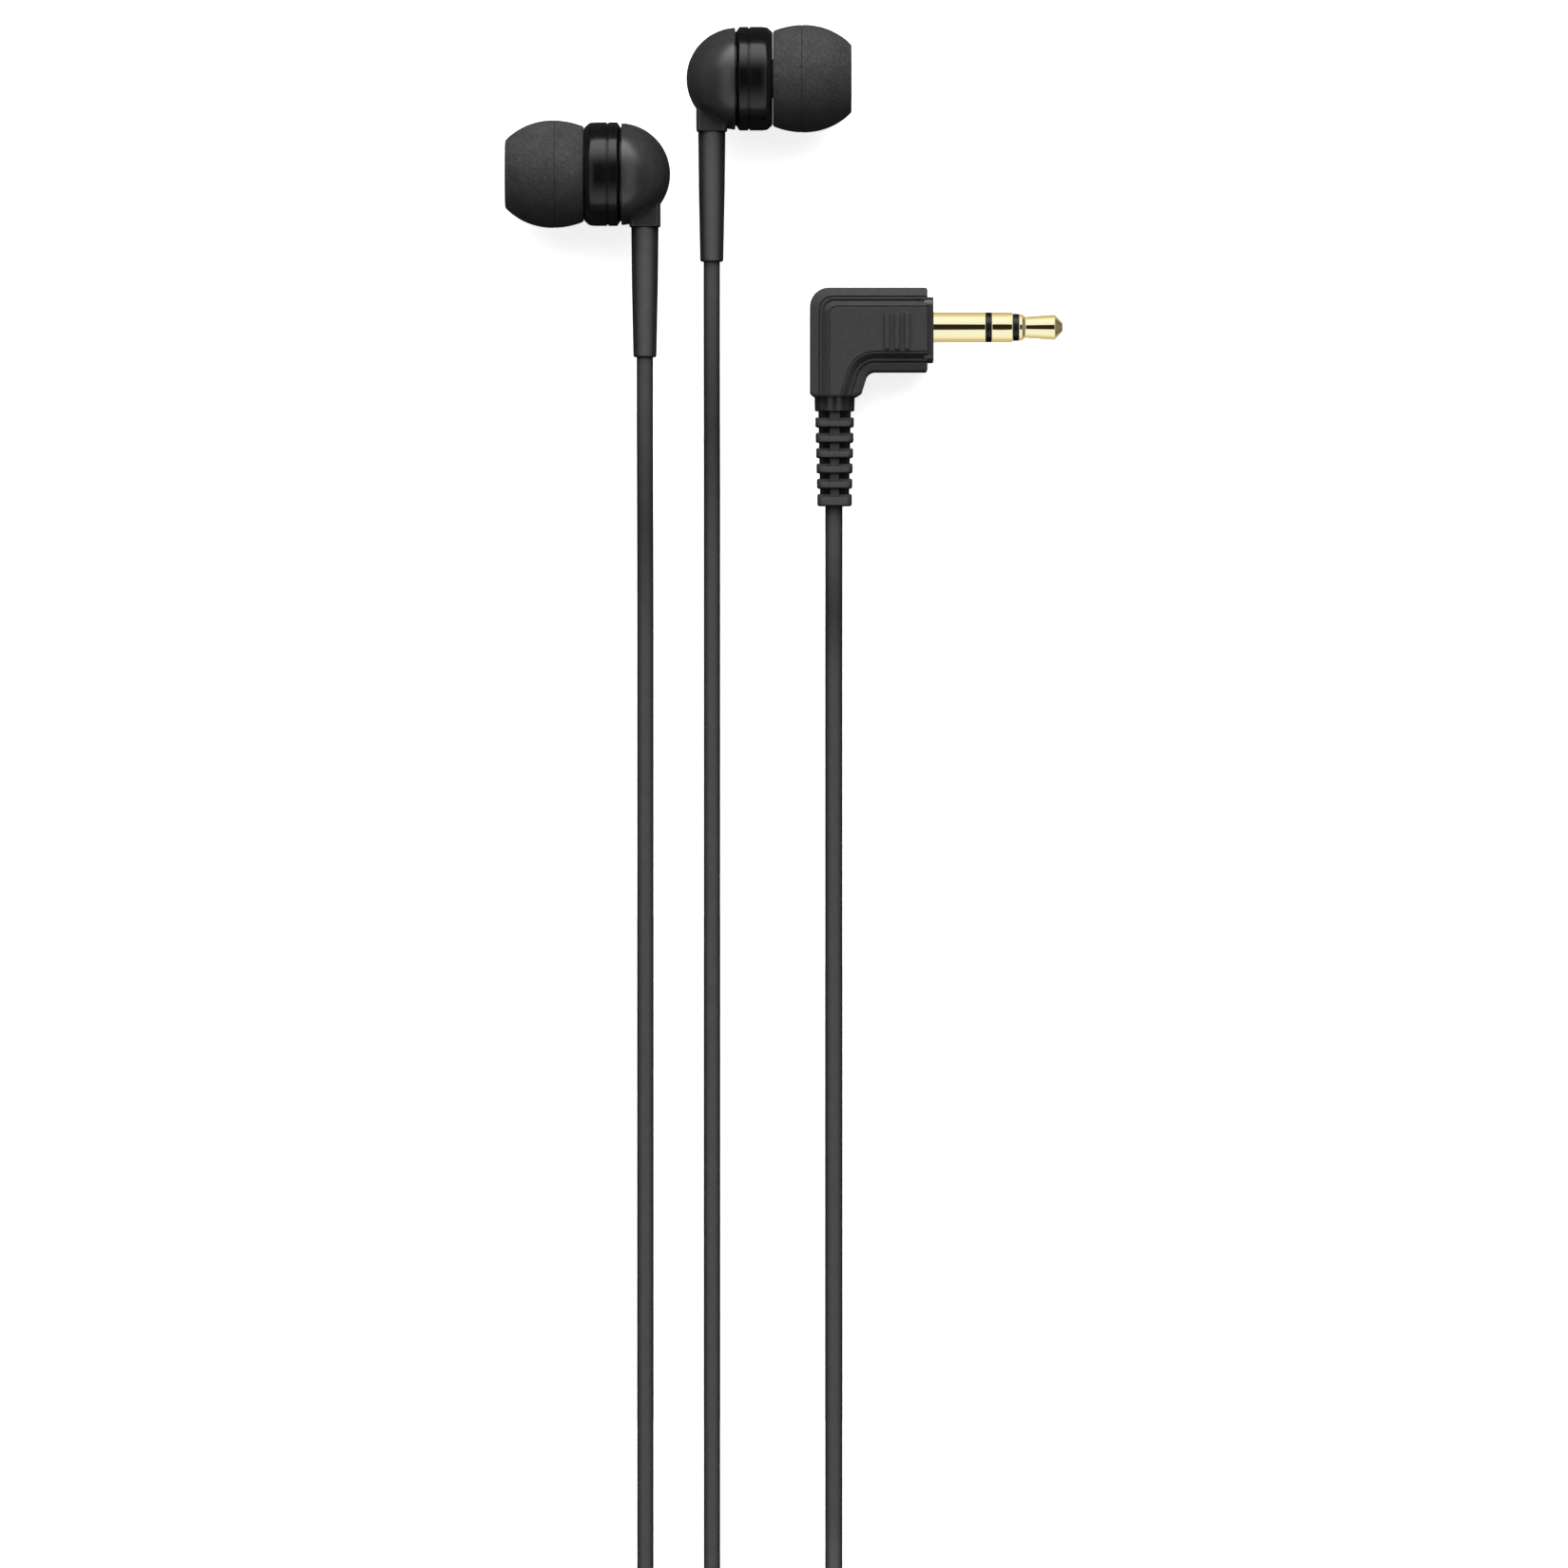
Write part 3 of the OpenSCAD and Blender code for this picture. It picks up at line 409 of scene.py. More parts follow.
def painted_tent_reflection(tree, node, direction):
    """Painted reflection: the tent's colour for a mirrored direction in world space."""
    split = node("ShaderNodeSeparateXYZ")
    tree.links.new(direction, split.inputs["Vector"])
    height = node("ShaderNodeMapRange")
    height.inputs["From Min"].default_value = -1.0
    tree.links.new(split.outputs["Z"], height.inputs["Value"])
    tent = node("ShaderNodeValToRGB")
    stops = tent.color_ramp.elements
    for i, (level, colour) in enumerate(GOLD_PAINTED_REFLECTION):
        place = (level + 1) / 2
        stop = stops[i] if i < 2 else stops.new(place)
        stop.position = place
        stop.color = (*colour, 1)
    tree.links.new(height.outputs["Result"], tent.inputs["Fac"])
    return tent.outputs["Color"]


def gold():
    """Gold plating whose look is mostly a painted reflection, an emission of a white tent with a dark opening
    overhead, with painted shade ahead of the plug.
    """
    material, tree, node, surface = metal("gold", (0.95, 0.80, 0.40), (0.98, 0.84, 0.44), 0.1, 0.06,
                                          0.0003, (1, 0.03, 0.03))
    mirrored = node("ShaderNodeTexCoord").outputs["Reflection"]
    own = node("ShaderNodeVectorTransform", vector_type="VECTOR",
               convert_from="WORLD", convert_to="OBJECT")
    ahead = node("ShaderNodeSeparateXYZ")
    tree.links.new(mirrored, own.inputs["Vector"])
    tree.links.new(own.outputs["Vector"], ahead.inputs["Vector"])
    # Painted reflection: the emission copies the tent for the mirrored direction, painted darker ahead of the plug
    glow = node("ShaderNodeEmission")
    tree.links.new(painted_tent_reflection(tree, node, mirrored), glow.inputs["Color"])
    tree.links.new(smooth_step(tree, ahead.outputs["X"], *GOLD_PAINTED_DIMMING), glow.inputs["Strength"])
    mixer = node("ShaderNodeMixShader")
    mixer.inputs["Fac"].default_value = GOLD_PAINTED_SHARE
    tree.links.new(surface.outputs["BSDF"], mixer.inputs[1])
    tree.links.new(glow.outputs["Emission"], mixer.inputs[2])
    tree.links.new(mixer.outputs["Shader"], tree.nodes["Material Output"].inputs["Surface"])
    material.cycles.emission_sampling = "NONE"
    return material


# plastic: darkest, lightest, roughness, its spread, patch and grain sizes, grain depth, specular, painted edge
# shade
MATERIALS = {
    "silicone": silicone(),
    "gloss_black": turned_gloss(),
    "satin_black": plastic("satin_black", 0.031, 0.034, 0.25, 0.015, 1.8, 0.12, 0.0008, 1.0),
    # Painted edge shade on the sleeve rubber: darker towards its outline
    "sleeve_rubber": plastic("sleeve_rubber", 0.086, 0.094, 0.46, 0.06, 1.2, 0.14, 0.006, 0.25,
                             (0.3, 0.0, 0.27)),
    # Painted edge shade on the cable jacket, also on the boot ribs: darker towards their outlines
    "cable_jacket": plastic("cable_jacket", 0.062, 0.068, 0.46, 0.06, 2.0, 0.16, 0.006, 0.25,
                            (0.12, 0.08, 0.8)),
    "plug_black": plastic("plug_black", 0.049, 0.054, 0.4, 0.05, 0.5, 0.2, 0.016, 0.2),
    "insulator": plastic("insulator", 0.006, 0.010, 0.3, 0.05, 0.5, 0.1, 0.003),
    "gold": gold(),
    "copper": metal("copper", (0.72, 0.36, 0.2), (0.82, 0.45, 0.28), 0.3, 0.1, 0.002)[0],
    "steel": metal("steel", (0.5, 0.5, 0.52), (0.66, 0.66, 0.68), 0.28, 0.08, 0.002)[0],
    "film": plastic("film", 0.5, 0.62, 0.4, 0.08, 0.8, 0.2, 0.004),
    "board": plastic("board", (0.02, 0.10, 0.045), (0.03, 0.14, 0.06), 0.35, 0.06, 0.6, 0.15, 0.004),
}


# ---------------------------------------------------------------- earpieces

# Radii, and places along the axis (U) counted from the lead's centre line towards the ear
DOME_R, DOME_U, PARTING_U = 5.9, 2.97, 2.72
BAND_R, RING_U, RING_END_U, BAND_U, BAND_END_U = 6.0, 3.14, 4.2, 4.38, 7.04
SHELL_BORE, GROOVE_R = 5.0, 5.85
NOZZLE_R, NOZZLE_BORE, NOZZLE_MOUTH, BEAD_R, NOZZLE_END_U = 2.05, 1.55, 1.8, 2.3, 12.0
TIP_R, TIP_WIDE_U, TIP_END_U = 6.22, 10.7, 16.2
TIP_FRONT_CURVE, TIP_REAR_CURVE, SKIRT = 7.66, 9.6, 0.7
SEAM_U, SEAM_HALF, SEAM_DEPTH = 10.4, 0.045, 0.1
CORE_U, CORE_END_U, CORE_R, CORE_BORE, PASSAGE_R = 7.4, 13.4, 3.1, 2.35, 1.9
# Below the axis, towards the lead
BOSS_W, BOSS_TOP, BOSS_LOW = 3.6, 2.6, 6.1
SLEEVE_R, SLEEVE_BORE, SLEEVE_LOW = 1.58, 1.0, 21.2


def tip_radius(u, inset=0.0):
    """Outer radius of the ear tip, or of its cavity, at a place along the axis."""
    curve = TIP_REAR_CURVE if u < TIP_WIDE_U else TIP_FRONT_CURVE
    return TIP_R - curve + math.sqrt(max((curve - inset) ** 2 - (u - TIP_WIDE_U) ** 2, 0))


def tip_outline():
    """Closed outline of the silicone tip: skirt, seam, front, sound passage, core and cavity."""
    rear = BAND_END_U + 0.03
    lip = rear + 0.4
    shoulder = TIP_END_U - 0.5
    skirt = [(u, tip_radius(u)) for u in np.linspace(rear + 0.35, SEAM_U - SEAM_HALF, 16)]
    skirt += [(SEAM_U, tip_radius(SEAM_U) - SEAM_DEPTH)]
    skirt += [(u, tip_radius(u)) for u in np.linspace(SEAM_U + SEAM_HALF, shoulder, 26)]
    front = fillet([(shoulder, tip_radius(shoulder), 0), (TIP_END_U, tip_radius(TIP_END_U), 0.4),
                    (TIP_END_U - 0.12, 2.9, 0.6), (TIP_END_U, PASSAGE_R, 0.22), (12.25, PASSAGE_R, 0.12),
                    (12.1, CORE_BORE, 0.12), (CORE_U, CORE_BORE, 0.15), (CORE_U, CORE_R, 0.3),
                    (CORE_END_U, CORE_R, 0.6), (CORE_END_U, tip_radius(CORE_END_U, SKIRT), 0.6),
                    (12.4, tip_radius(12.4, SKIRT), 0)], closed=False)
    cavity = [(u, tip_radius(u, SKIRT)) for u in np.linspace(12.2, lip, 20)]
    rim = fillet([(lip, tip_radius(lip, SKIRT), 0), (rear, tip_radius(rear, SKIRT), 0.28),
                  (rear, tip_radius(rear), 0.34), (lip, tip_radius(lip), 0)], closed=False)
    return skirt + front[1:] + cavity + rim[1:-1]


def front_housing_outline():
    """Glossy front shell with its curved shoulder, and the sound tube with its bead."""
    recess = NOZZLE_END_U - 0.4
    return fillet([(BAND_U, SHELL_BORE, 0.05), (BAND_U, BAND_R, 0.1), (BAND_END_U - 1.3, BAND_R, 1.5),
                   (BAND_END_U - 0.62, 5.94, 0.7), (BAND_END_U, 5.36, 0.25), (BAND_END_U, NOZZLE_R, 0.3),
                   (10.3, NOZZLE_R, 0.1), (10.45, BEAD_R, 0.08), (11.1, BEAD_R, 0.12),
                   (11.25, NOZZLE_R, 0.08), (NOZZLE_END_U, NOZZLE_R, 0.12),
                   (NOZZLE_END_U, NOZZLE_MOUTH, 0.05), (recess, NOZZLE_MOUTH, 0.03),
                   (recess, NOZZLE_BORE, 0.04), (6.2, NOZZLE_BORE, 0.08), (6.2, SHELL_BORE, 0.1)])


def trim_ring_outline():
    """Ring between two grooves, with a chamfer to the parting line."""
    return fillet([(PARTING_U, SHELL_BORE, 0), (PARTING_U, 5.45, 0), (PARTING_U + 0.12, 5.45, 0.03),
                   (RING_U, 5.92, 0.05), (RING_U + 0.08, BAND_R, 0.08), (RING_END_U, BAND_R, 0.07),
                   (RING_END_U + 0.04, GROOVE_R, 0.03), (BAND_U, GROOVE_R, 0), (BAND_U, SHELL_BORE, 0)])


def dome_outline():
    """Hollow ball-shaped rear housing with a rounded edge at the parting line."""
    start = math.degrees(math.acos((PARTING_U - DOME_U) / DOME_R))
    outer = arc((DOME_U, 0), DOME_R, start + 1.6, 180, 60)
    inner = arc((DOME_U, 0), DOME_R - 1, 180, start, 40)
    edge = fillet([(PARTING_U, SHELL_BORE, 0), (PARTING_U, DOME_R - 0.005, 0.12), outer[0] + (0,)],
                  closed=False)
    poles = [(DOME_U - DOME_R, 0), (DOME_U - DOME_R + 1, 0)]
    return edge[1:-1] + outer[:-1] + poles + inner[1:]


def sleeve_outline():
    """Tapered strain sleeve, from inside the boss down to its rounded end."""
    return fillet([(4.7, SLEEVE_BORE, 0.02), (4.7, 1.3, 0.05), (BOSS_LOW, 1.3, 0),
                   (BOSS_LOW + 0.02, SLEEVE_R, 0.08), (BOSS_LOW + 7, 1.5, 0), (SLEEVE_LOW, 1.34, 0.22),
                   (SLEEVE_LOW, SLEEVE_BORE, 0.05)])


def woven_guard(name, origin, axis, body, node):
    """Round woven wire guard: two crossed layers of wavy wires inside a thin rim."""
    radius, wire, pitch, wave = 1.72, 0.045, 0.26, 0.05
    place = NOZZLE_END_U - 0.3
    count = int(radius / pitch)
    wires = []
    for across, other, phase in ((Y, Z, 0), (Z, Y, 1)):
        for i in range(-count, count + 1):
            half = math.sqrt(radius ** 2 - (i * pitch) ** 2)
            steps = 4 * max(int(half / pitch * 2), 2)
            rings = []
            for t in np.linspace(-half, half, steps + 1):
                height = wave * math.cos(math.pi * (t / pitch + i + phase))
                centre = origin + axis * (place + height) + across * t + other * (i * pitch)
                rings.append([centre + (axis * math.cos(a) + other * math.sin(a)) * wire
                              for a in whole_turn(6)])
            wires.append(rings)
    loft(name, wires, "steel", body, (node,), weighted=False)
    rim = fillet([(place - 0.08, 1.62, 0.03), (place - 0.08, 1.79, 0.03), (place + 0.1, 1.79, 0.04),
                  (place + 0.1, 1.62, 0.04)], 3)
    lathe(name + "_rim", rim, origin, axis, "steel", body, steps=96)


def earpiece(side, sign):
    """One earpiece; its origin is where its axis meets the centre line of its lead."""
    body, tip_body = side + "_earpiece", side + "_tip"
    centre = middle(side + "_trim_ring")
    origin = Vector((middle(side + "_lead_mid").x, centre.y, centre.z))
    axis = X * sign

    def turned(piece, outline, direction, slot, node, carrier=body):
        lathe(f"{side}_{piece}", outline, origin, direction, slot, carrier, (f"{side}_{node}",))

    turned("silicone_tip", tip_outline(), axis, "silicone", "ear_tip", tip_body)
    turned("front_shell", front_housing_outline(), axis, "gloss_black", "front_housing")
    turned("trim_band", trim_ring_outline(), axis, "gloss_black", "trim_ring")
    turned("rear_dome", dome_outline(), axis, "satin_black", "rear_housing")
    boss = soft_ends(BOSS_TOP, BOSS_LOW, BOSS_W / 2, BOSS_W / 2, 0.5, 0.14)
    loft(side + "_cable_boss", [loft_rings(boss, origin, -Y, X, Z)], "satin_black", body)
    woven_guard(side + "_sound_guard", origin, axis, body, side + "_nozzle_mesh")
    turned("sleeve", sleeve_outline(), -Y, "sleeve_rubber", "strain_sleeve")


# ---------------------------------------------------------------- cables

# Radii of jackets, bores and cores
LEAD_R, LEAD_BORE, MAIN_R, MAIN_BORE, CORE_WIRE_R = 0.95, 0.62, 1.0, 0.68, 0.4
# The climb from the table: radius of its arcs, straight between them, level stretch at its end
LEAD_TURN, MAIN_TURN, JOINT_LEG, LEVEL = 40.0, 20.0, 0.3, 4.0
# Lengths over which a lead bends at its three hinges, and what stays straight between the last two
LIFT_BEND, SWING_BEND, ENTRY_BEND, STRAIGHT = 26.0, 14.0, 18.0, 2.0
LEAD_STEP, OVERLAP, TAIL = 0.8, 3, 1.5     # one segment; overlap with the coil; part inside the sleeve
COVER = 0.012                              # a jacket stands this far over the CAD cable it covers


def slope(turn, rise):
    """Angle in radians and length of a smooth climb made of two opposite arcs and a short straight."""
    reach = math.hypot(2 * turn, JOINT_LEG)
    angle = math.acos((2 * turn - rise) / reach) - math.atan(JOINT_LEG / (2 * turn))
    return angle, 2 * turn * math.sin(angle) + JOINT_LEG * math.cos(angle)


def climb_height(d, turn, rise):
    """Height gained after a distance d along the table from the start of a smooth climb."""
    angle, length = slope(turn, rise)
    if d <= 0:
        return 0.0
    if d >= length:
        return rise
    foot = turn * math.sin(angle)
    if d < foot:
        return turn - math.sqrt(turn ** 2 - d ** 2)
    if d > length - foot:
        return rise - turn + math.sqrt(turn ** 2 - (length - d) ** 2)
    return turn * (1 - math.cos(angle)) + (d - foot) * math.tan(angle)


def lead(side, radius, bore, turn, end_joint, end_body):
    """A lead from the coil to its sleeve or boot, in three pieces."""
    low = joint_point(side + "_lead_lift")
    swing = joint_point(side + "_lead_swing")
    end = joint_point(end_joint)
    rise = end.z - swing.z
    foot = end.y - LEVEL - slope(turn, rise)[1]

    def path(first, last):
        steps = max(int((last - first) / LEAD_STEP), 2)
        return [Vector((low.x, y, low.z + climb_height(y - foot, turn, rise)))
                for y in np.linspace(first, last, steps + 1)]

    swing_bend = min(SWING_BEND, end.y - swing.y - ENTRY_BEND - STRAIGHT)
    lift_end, swing_end, entry = low.y + LIFT_BEND, swing.y + swing_bend, end.y - ENTRY_BEND
    cut_low = (lift_end + swing.y) / 2
    cut_high = (swing_end + entry) / 2
    middle_body, top_body = side + "_lead_middle", side + "_lead_top"
    # name, first and last y, start of the core, cover, bodies, bend, jacket and core nodes
    pieces = (("lower_run", low.y - OVERLAP, cut_low, low.y + 1.2, COVER, "cable_coil", middle_body,
               low.y, lift_end, ("_lead_mid",), ("_core_mid",)),
              ("middle_run", cut_low, cut_high, cut_low, 0, middle_body, top_body,
               swing.y, swing_end, ("_lead_upper",), ("_core_upper",)),
              ("upper_run", cut_high, end.y + TAIL, cut_high, 0, top_body, end_body,
               entry, end.y, ("_lead_tail",), ()))
    for part, first, last, core_first, cover, a, b, start, stop, jacket_nodes, core_nodes in pieces:
        name = f"{side}_{part}"
        jacket = sweep(name, path(first, last), radius + cover, bore, "cable_jacket",
                       [side + node for node in jacket_nodes])
        core = sweep(name + "_core", path(core_first, last - 0.2), CORE_WIRE_R, 0, "copper",
                     [side + node for node in core_nodes])
        for piece in (jacket, core):
            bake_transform(piece)


# ---------------------------------------------------------------- plug

# The L of the housing, from the outer side of the foot and the axis of the shaft
LEFT, TOP, ARM_LOW, FOOT_LOW, FOOT_W, ARM_END = 0.0, 4.53, -5.2, -8.1, 5.87, 13.6
CORNER_R, KNEE_R, FOOT_LEAN = 2.2, 1.1, 17.0
LEG_STEPS, TURN_STEPS = 9, 14       # points along each leg of the L, steps round its corner
# Section of one face from the edge inwards: (distance from the edge, height, rounding)
FACE = fillet([(0, 0.06, 0), (0, 2.5, 0.3), (0.98, 2.86, 0.06), (1.1, 2.62, 0.04), (1.22, 3.04, 0.06),
               (1.38, 3.04, 0.06), (1.5, 2.8, 0.05), (2.06, 3.58, 0.1), (2.14, 3.66, 0.04),
               (2.24, 3.46, 0.04), (2.36, 3.66, 0.04), (2.6, 3.65, 0)], 4, closed=False)
RIM_WIDTH = 0.9                     # the part of a face that the cut at an end moves
# Rounded ends of the arm and the foot: (cut at the corners, drop of the faces, distance from the end)
FRONT_END = [(0.25, 0.18, 0.0), (0.11, 0.08, 0.04), (0.03, 0.02, 0.13), (0.0, 0.0, 0.25)]
FOOT_END = [(0.5, 0.16, 0.0), (0.44, 0.06, 0.05), (0.34, 0.01, 0.14), (0.04, 0.0, 0.4), (0.0, 0.0, 0.5)]

# Grip ribs: first one's centre, distance between them, foot and top heights, half-sizes
GRIP_X, GRIP_Y, GRIP_PITCH, GRIP_FOOT, GRIP_TOP = 8.91, -0.52, 1.165, 3.2, 4.0
GRIP_W, GRIP_L = 0.285, 2.19

# Contacts along the shaft from the collar's face: name, slot, CAD node, outline
SHAFT_R, SLEEVE_END, REAR_END, RING_END, FRONT_GAP_END = 1.75, 6.05, 6.77, 9.22, 9.94
CONTACTS = (
    ("sleeve", "gold", "sleeve_contact",
     [(-4.9, 1.3, 0), (-4.9, 1.7, 0), (-0.2, 1.7, 0), (-0.2, SHAFT_R, 0), (SLEEVE_END, SHAFT_R, 0.06),
      (SLEEVE_END, 1.3, 0)]),
    ("rear_ring", "insulator", "rear_insulator",
     [(-6.6, 1.0, 0), (-6.6, 1.3, 0), (SLEEVE_END, 1.3, 0), (SLEEVE_END, 1.735, 0.03),
      (REAR_END, 1.735, 0.03), (REAR_END, 1.0, 0)]),
    ("ring", "gold", "ring_contact",
     [(-7.4, 0.8, 0), (-7.4, 1.0, 0), (REAR_END, 1.0, 0), (REAR_END, SHAFT_R, 0.06),
      (RING_END, SHAFT_R, 0.12), (RING_END, 0.8, 0)]),
    ("front_ring", "insulator", "front_insulator",
     [(-8.0, 0.5, 0), (-8.0, 0.8, 0), (RING_END, 0.8, 0), (RING_END, 1.57, 0.04),
      (FRONT_GAP_END, 1.57, 0.04), (FRONT_GAP_END, 0.5, 0)]),
    ("tip", "gold", "tip_contact",
     [(-8.6, 0, 0), (-8.6, 0.5, 0), (FRONT_GAP_END, 0.5, 0), (FRONT_GAP_END, 1.55, 0.08),
      (10.29, 1.55, 0.1), (10.66, 1.22, 0.25), (14.08, 1.475, 0.16), (14.98, 0.52, 0.12), (15.0, 0, 0)]),
)

# Boot: ribs, where the first starts at its sides, their spacing, how much later their front starts
BOOT_RIBS, RIB_START, RIB_PITCH, RIB_LATE, RIB_THICK = 6, 2.37, 1.775, 0.38, 0.75
BOOT_ASIDE, COLLAR_R, COLLAR_END, BOOT_BORE, BOOT_END = 0.08, 2.33, 1.64, 1.1, 12.0


def outer_edge(inset, arm_end, foot_end):
    """The housing's outer side from the collar end, round the corner, to the foot: (x, y) points."""
    r = CORNER_R - 0.55 * inset
    centre = (LEFT + inset + r, TOP - inset - r)
    arm = [(x, TOP - inset) for x in np.linspace(arm_end, centre[0], LEG_STEPS)[:-1]]
    foot = [(LEFT + inset, y) for y in np.linspace(centre[1], foot_end, LEG_STEPS)[1:]]
    return arm + arc(centre, r, 90, 180, TURN_STEPS) + foot


def inner_edge(inset, arm_end, foot_end):
    """The inner side with the same count of points: along the arm, round the knee, down the foot."""
    lean = math.radians(FOOT_LEAN)
    knee_x = FOOT_W + (ARM_LOW - KNEE_R - FOOT_LOW) * math.tan(lean) + KNEE_R / math.cos(lean)
    centre = (knee_x, ARM_LOW - KNEE_R)
    turn = arc(centre, KNEE_R + inset, 90, 180 - FOOT_LEAN, TURN_STEPS)
    arm = [(x, ARM_LOW + inset) for x in np.linspace(arm_end, centre[0], LEG_STEPS)[:-1]]
    start_x, start_y = turn[-1]
    foot = [(start_x + (y - start_y) * math.tan(lean), y)
            for y in np.linspace(start_y, foot_end, LEG_STEPS)[1:]]
    return arm + turn + foot


def housing_ring(origin, i, cut=0.0, drop=0.0, depth=None):
    """A closed ring across the arm or the foot: top face, inner side, underside, outer side."""
    arm_end = ARM_END - (FRONT_END[-1][2] if depth is None else depth)
    foot_end = FOOT_LOW + (FOOT_END[-1][2] if depth is None else depth)
    half = []
    for d, z in FACE:
        moved = d + cut * max(0, 1 - d / RIM_WIDTH)
        outer = Vector(outer_edge(moved, arm_end, foot_end)[i])
        inner = Vector(inner_edge(moved, arm_end, foot_end)[i])
        half.append((outer, inner, max(z - drop, 0.0)))
    top = [(outer, z) for outer, _, z in half] + [(inner, z) for _, inner, z in reversed(half)]
    low = [(inner, -z) for _, inner, z in half] + [(outer, -z) for outer, _, z in reversed(half)]
    return [origin + Vector((p.x, p.y, z)) for p, z in top + low]


def plug_housing(origin, body):
    """L-shaped moulding: rim, fine ridge, sloping sides and raised panel, swept round the corner."""
    last = len(outer_edge(0, ARM_END, FOOT_LOW)) - 1
    rings = [housing_ring(origin, 0, *end) for end in FRONT_END]
    rings += [housing_ring(origin, i) for i in range(1, last)]
    rings += [housing_ring(origin, last, *end) for end in reversed(FOOT_END)]
    loft("plug_moulding", [rings], "plug_black", body, ("plug_housing",))


def grip_ribs(origin, body):
    """Three low ribs on each face of the housing."""
    stations = soft_ends(GRIP_FOOT, GRIP_TOP, GRIP_W, GRIP_L, 0.28, 0.12)
    ribs = []
    for i in range(3):
        place = origin + Vector((GRIP_X + i * GRIP_PITCH, GRIP_Y, 0))
        ribs += [loft_rings(stations, place, Z * up, X, Y) for up in (1, -1)]
    loft("plug_grip_ribs", ribs, "plug_black", body)


def plug_collar(centre_y, shaft, body):
    """Soft-cornered collar that the shaft comes out of."""
    low, high = box_mm("plug_insert")
    half = (high - low) / 2
    stations = soft_ends(-1.2, 0, half.z, half.y, 1.1, 0.12)
    place = Vector((shaft.x, centre_y, shaft.z))
    loft("plug_collar", [loft_rings(stations, place, X, Z, Y)], "satin_black", body, ("plug_insert",))


def boot_rib(i):
    """Stations of one rib: thick at the sides, with a later and narrower band front and back."""
    half = 2.23 - 0.045 * i
    side = RIB_START + RIB_PITCH * i
    front = side + RIB_LATE
    end = front + RIB_THICK + (0.25 if i == BOOT_RIBS - 1 else 0)
    return [(side, half - 0.16, 1.2, 0.5), (side + 0.05, half - 0.05, 1.3, 0.5),
            (side + 0.15, half, 1.3, 0.5), (front, half, 1.3, 0.5),
            (front, half - 0.02, half - 0.12, 0.9), (front + 0.03, half, half - 0.04, 0.95),
            (front + 0.1, half, half, 0.95), (end - 0.18, half, half, 0.95),
            (end - 0.07, half - 0.05, half - 0.05, 0.9), (end, half - 0.18, half - 0.16, 0.8)]


def boot(foot, body):
    """Strain relief: round collar, soft-square ribs, a slim spine in near-black insulator as painted shade in the
    slots between the ribs, and webs front and back.
    """
    collar = fillet([(-0.3, BOOT_BORE, 0), (-0.3, COLLAR_R, 0), (0.04, COLLAR_R, 0),
                     (0.1, COLLAR_R, 0.05), (COLLAR_END, 2.29, 0.13), (COLLAR_END, BOOT_BORE, 0)])
    places = np.linspace(1.0, BOOT_END, 12)
    spine = [(s, 1.92 - 0.02 * s, 0.9, 0.45) for s in places]
    web = [(s, 0.64 - 0.011 * s, 1.8 - 0.02 * s, 0.12) for s in places]
    ribs = [loft_rings(boot_rib(i), foot, -Y, X, Z) for i in range(BOOT_RIBS)]
    lathe("boot_collar", collar, foot, -Y, "satin_black", body)
    loft("boot_ribs", ribs, "cable_jacket", body, ("plug_boot",))
    # Painted shade: the spine takes the near-black insulator so the slots between the ribs read dark
    loft("boot_spine_painted_shade", [loft_rings(spine, foot, -Y, X, Z)], "insulator", body)
    loft("boot_webs", [loft_rings(web, foot, -Y, X, Z)], "plug_black", body)


def plug():
    """Right-angle plug: its shaft points to +x and its cable leaves towards -y."""
    body = "plug"
    low = box_mm("plug_housing")[0]
    axis = middle("sleeve_contact")
    face = Vector((box_mm("plug_insert")[1].x, axis.y, axis.z))
    origin = Vector((low.x, axis.y, axis.z))
    plug_housing(origin, body)
    grip_ribs(origin, body)
    plug_collar(middle("plug_insert").y, face, body)
    for name, slot, node, outline in CONTACTS:
        lathe("contact_" + name, fillet(outline), face, X, slot, body, (node,))
    boot(Vector((middle("plug_boot").x + BOOT_ASIDE, low.y, axis.z)), body)


# ---------------------------------------------------------------- splitter

def splitter():
    """Soft-cornered splitter that narrows towards the single cable."""
    cable_w, cable_t, wide_until, edge = 1.9, 1.75, 0.45, 0.5
    low, high = box_mm("splitter_body")
    centre = (low + high) / 2
    length, half_w, half_t = high.y - low.y, (high.x - low.x) / 2, (high.z - low.z) / 2
    stations = []
    for t in np.linspace(0, 1, 25):
        narrow = max(t - wide_until, 0) / (1 - wide_until)
        ease = narrow * narrow * (3 - 2 * narrow)
        a, b = half_w + (cable_w - half_w) * ease, half_t + (cable_t - half_t) * ease
        near_end = max(0, 1 - min(t, 1 - t) * length / edge)
        cut = edge * (1 - math.sqrt(1 - near_end ** 2))
        stations.append((t * length, a - cut, b - cut, min(a, b) * 0.62 - cut * 0.5))
    rings = loft_rings(stations, Vector((centre.x, low.y, centre.z)), Y, X, Z, 8)
    loft("splitter_shell", [rings], "satin_black", "cable_coil", ("splitter_body",))


# ---------------------------------------------------------------- whole object

def paint_cad_nodes():
    """Every CAD node that stays gets its slot's procedural material."""
    slots = {part["node"]: part["material_slot"] for part in frame["record"]["subparts"]}
    for name, node in frame["nodes"].items():
        for holder in node.material_slots:
            holder.material = MATERIALS[slots[name]]
        if not node.material_slots:
            node.data.materials.append(MATERIALS[slots[name]])


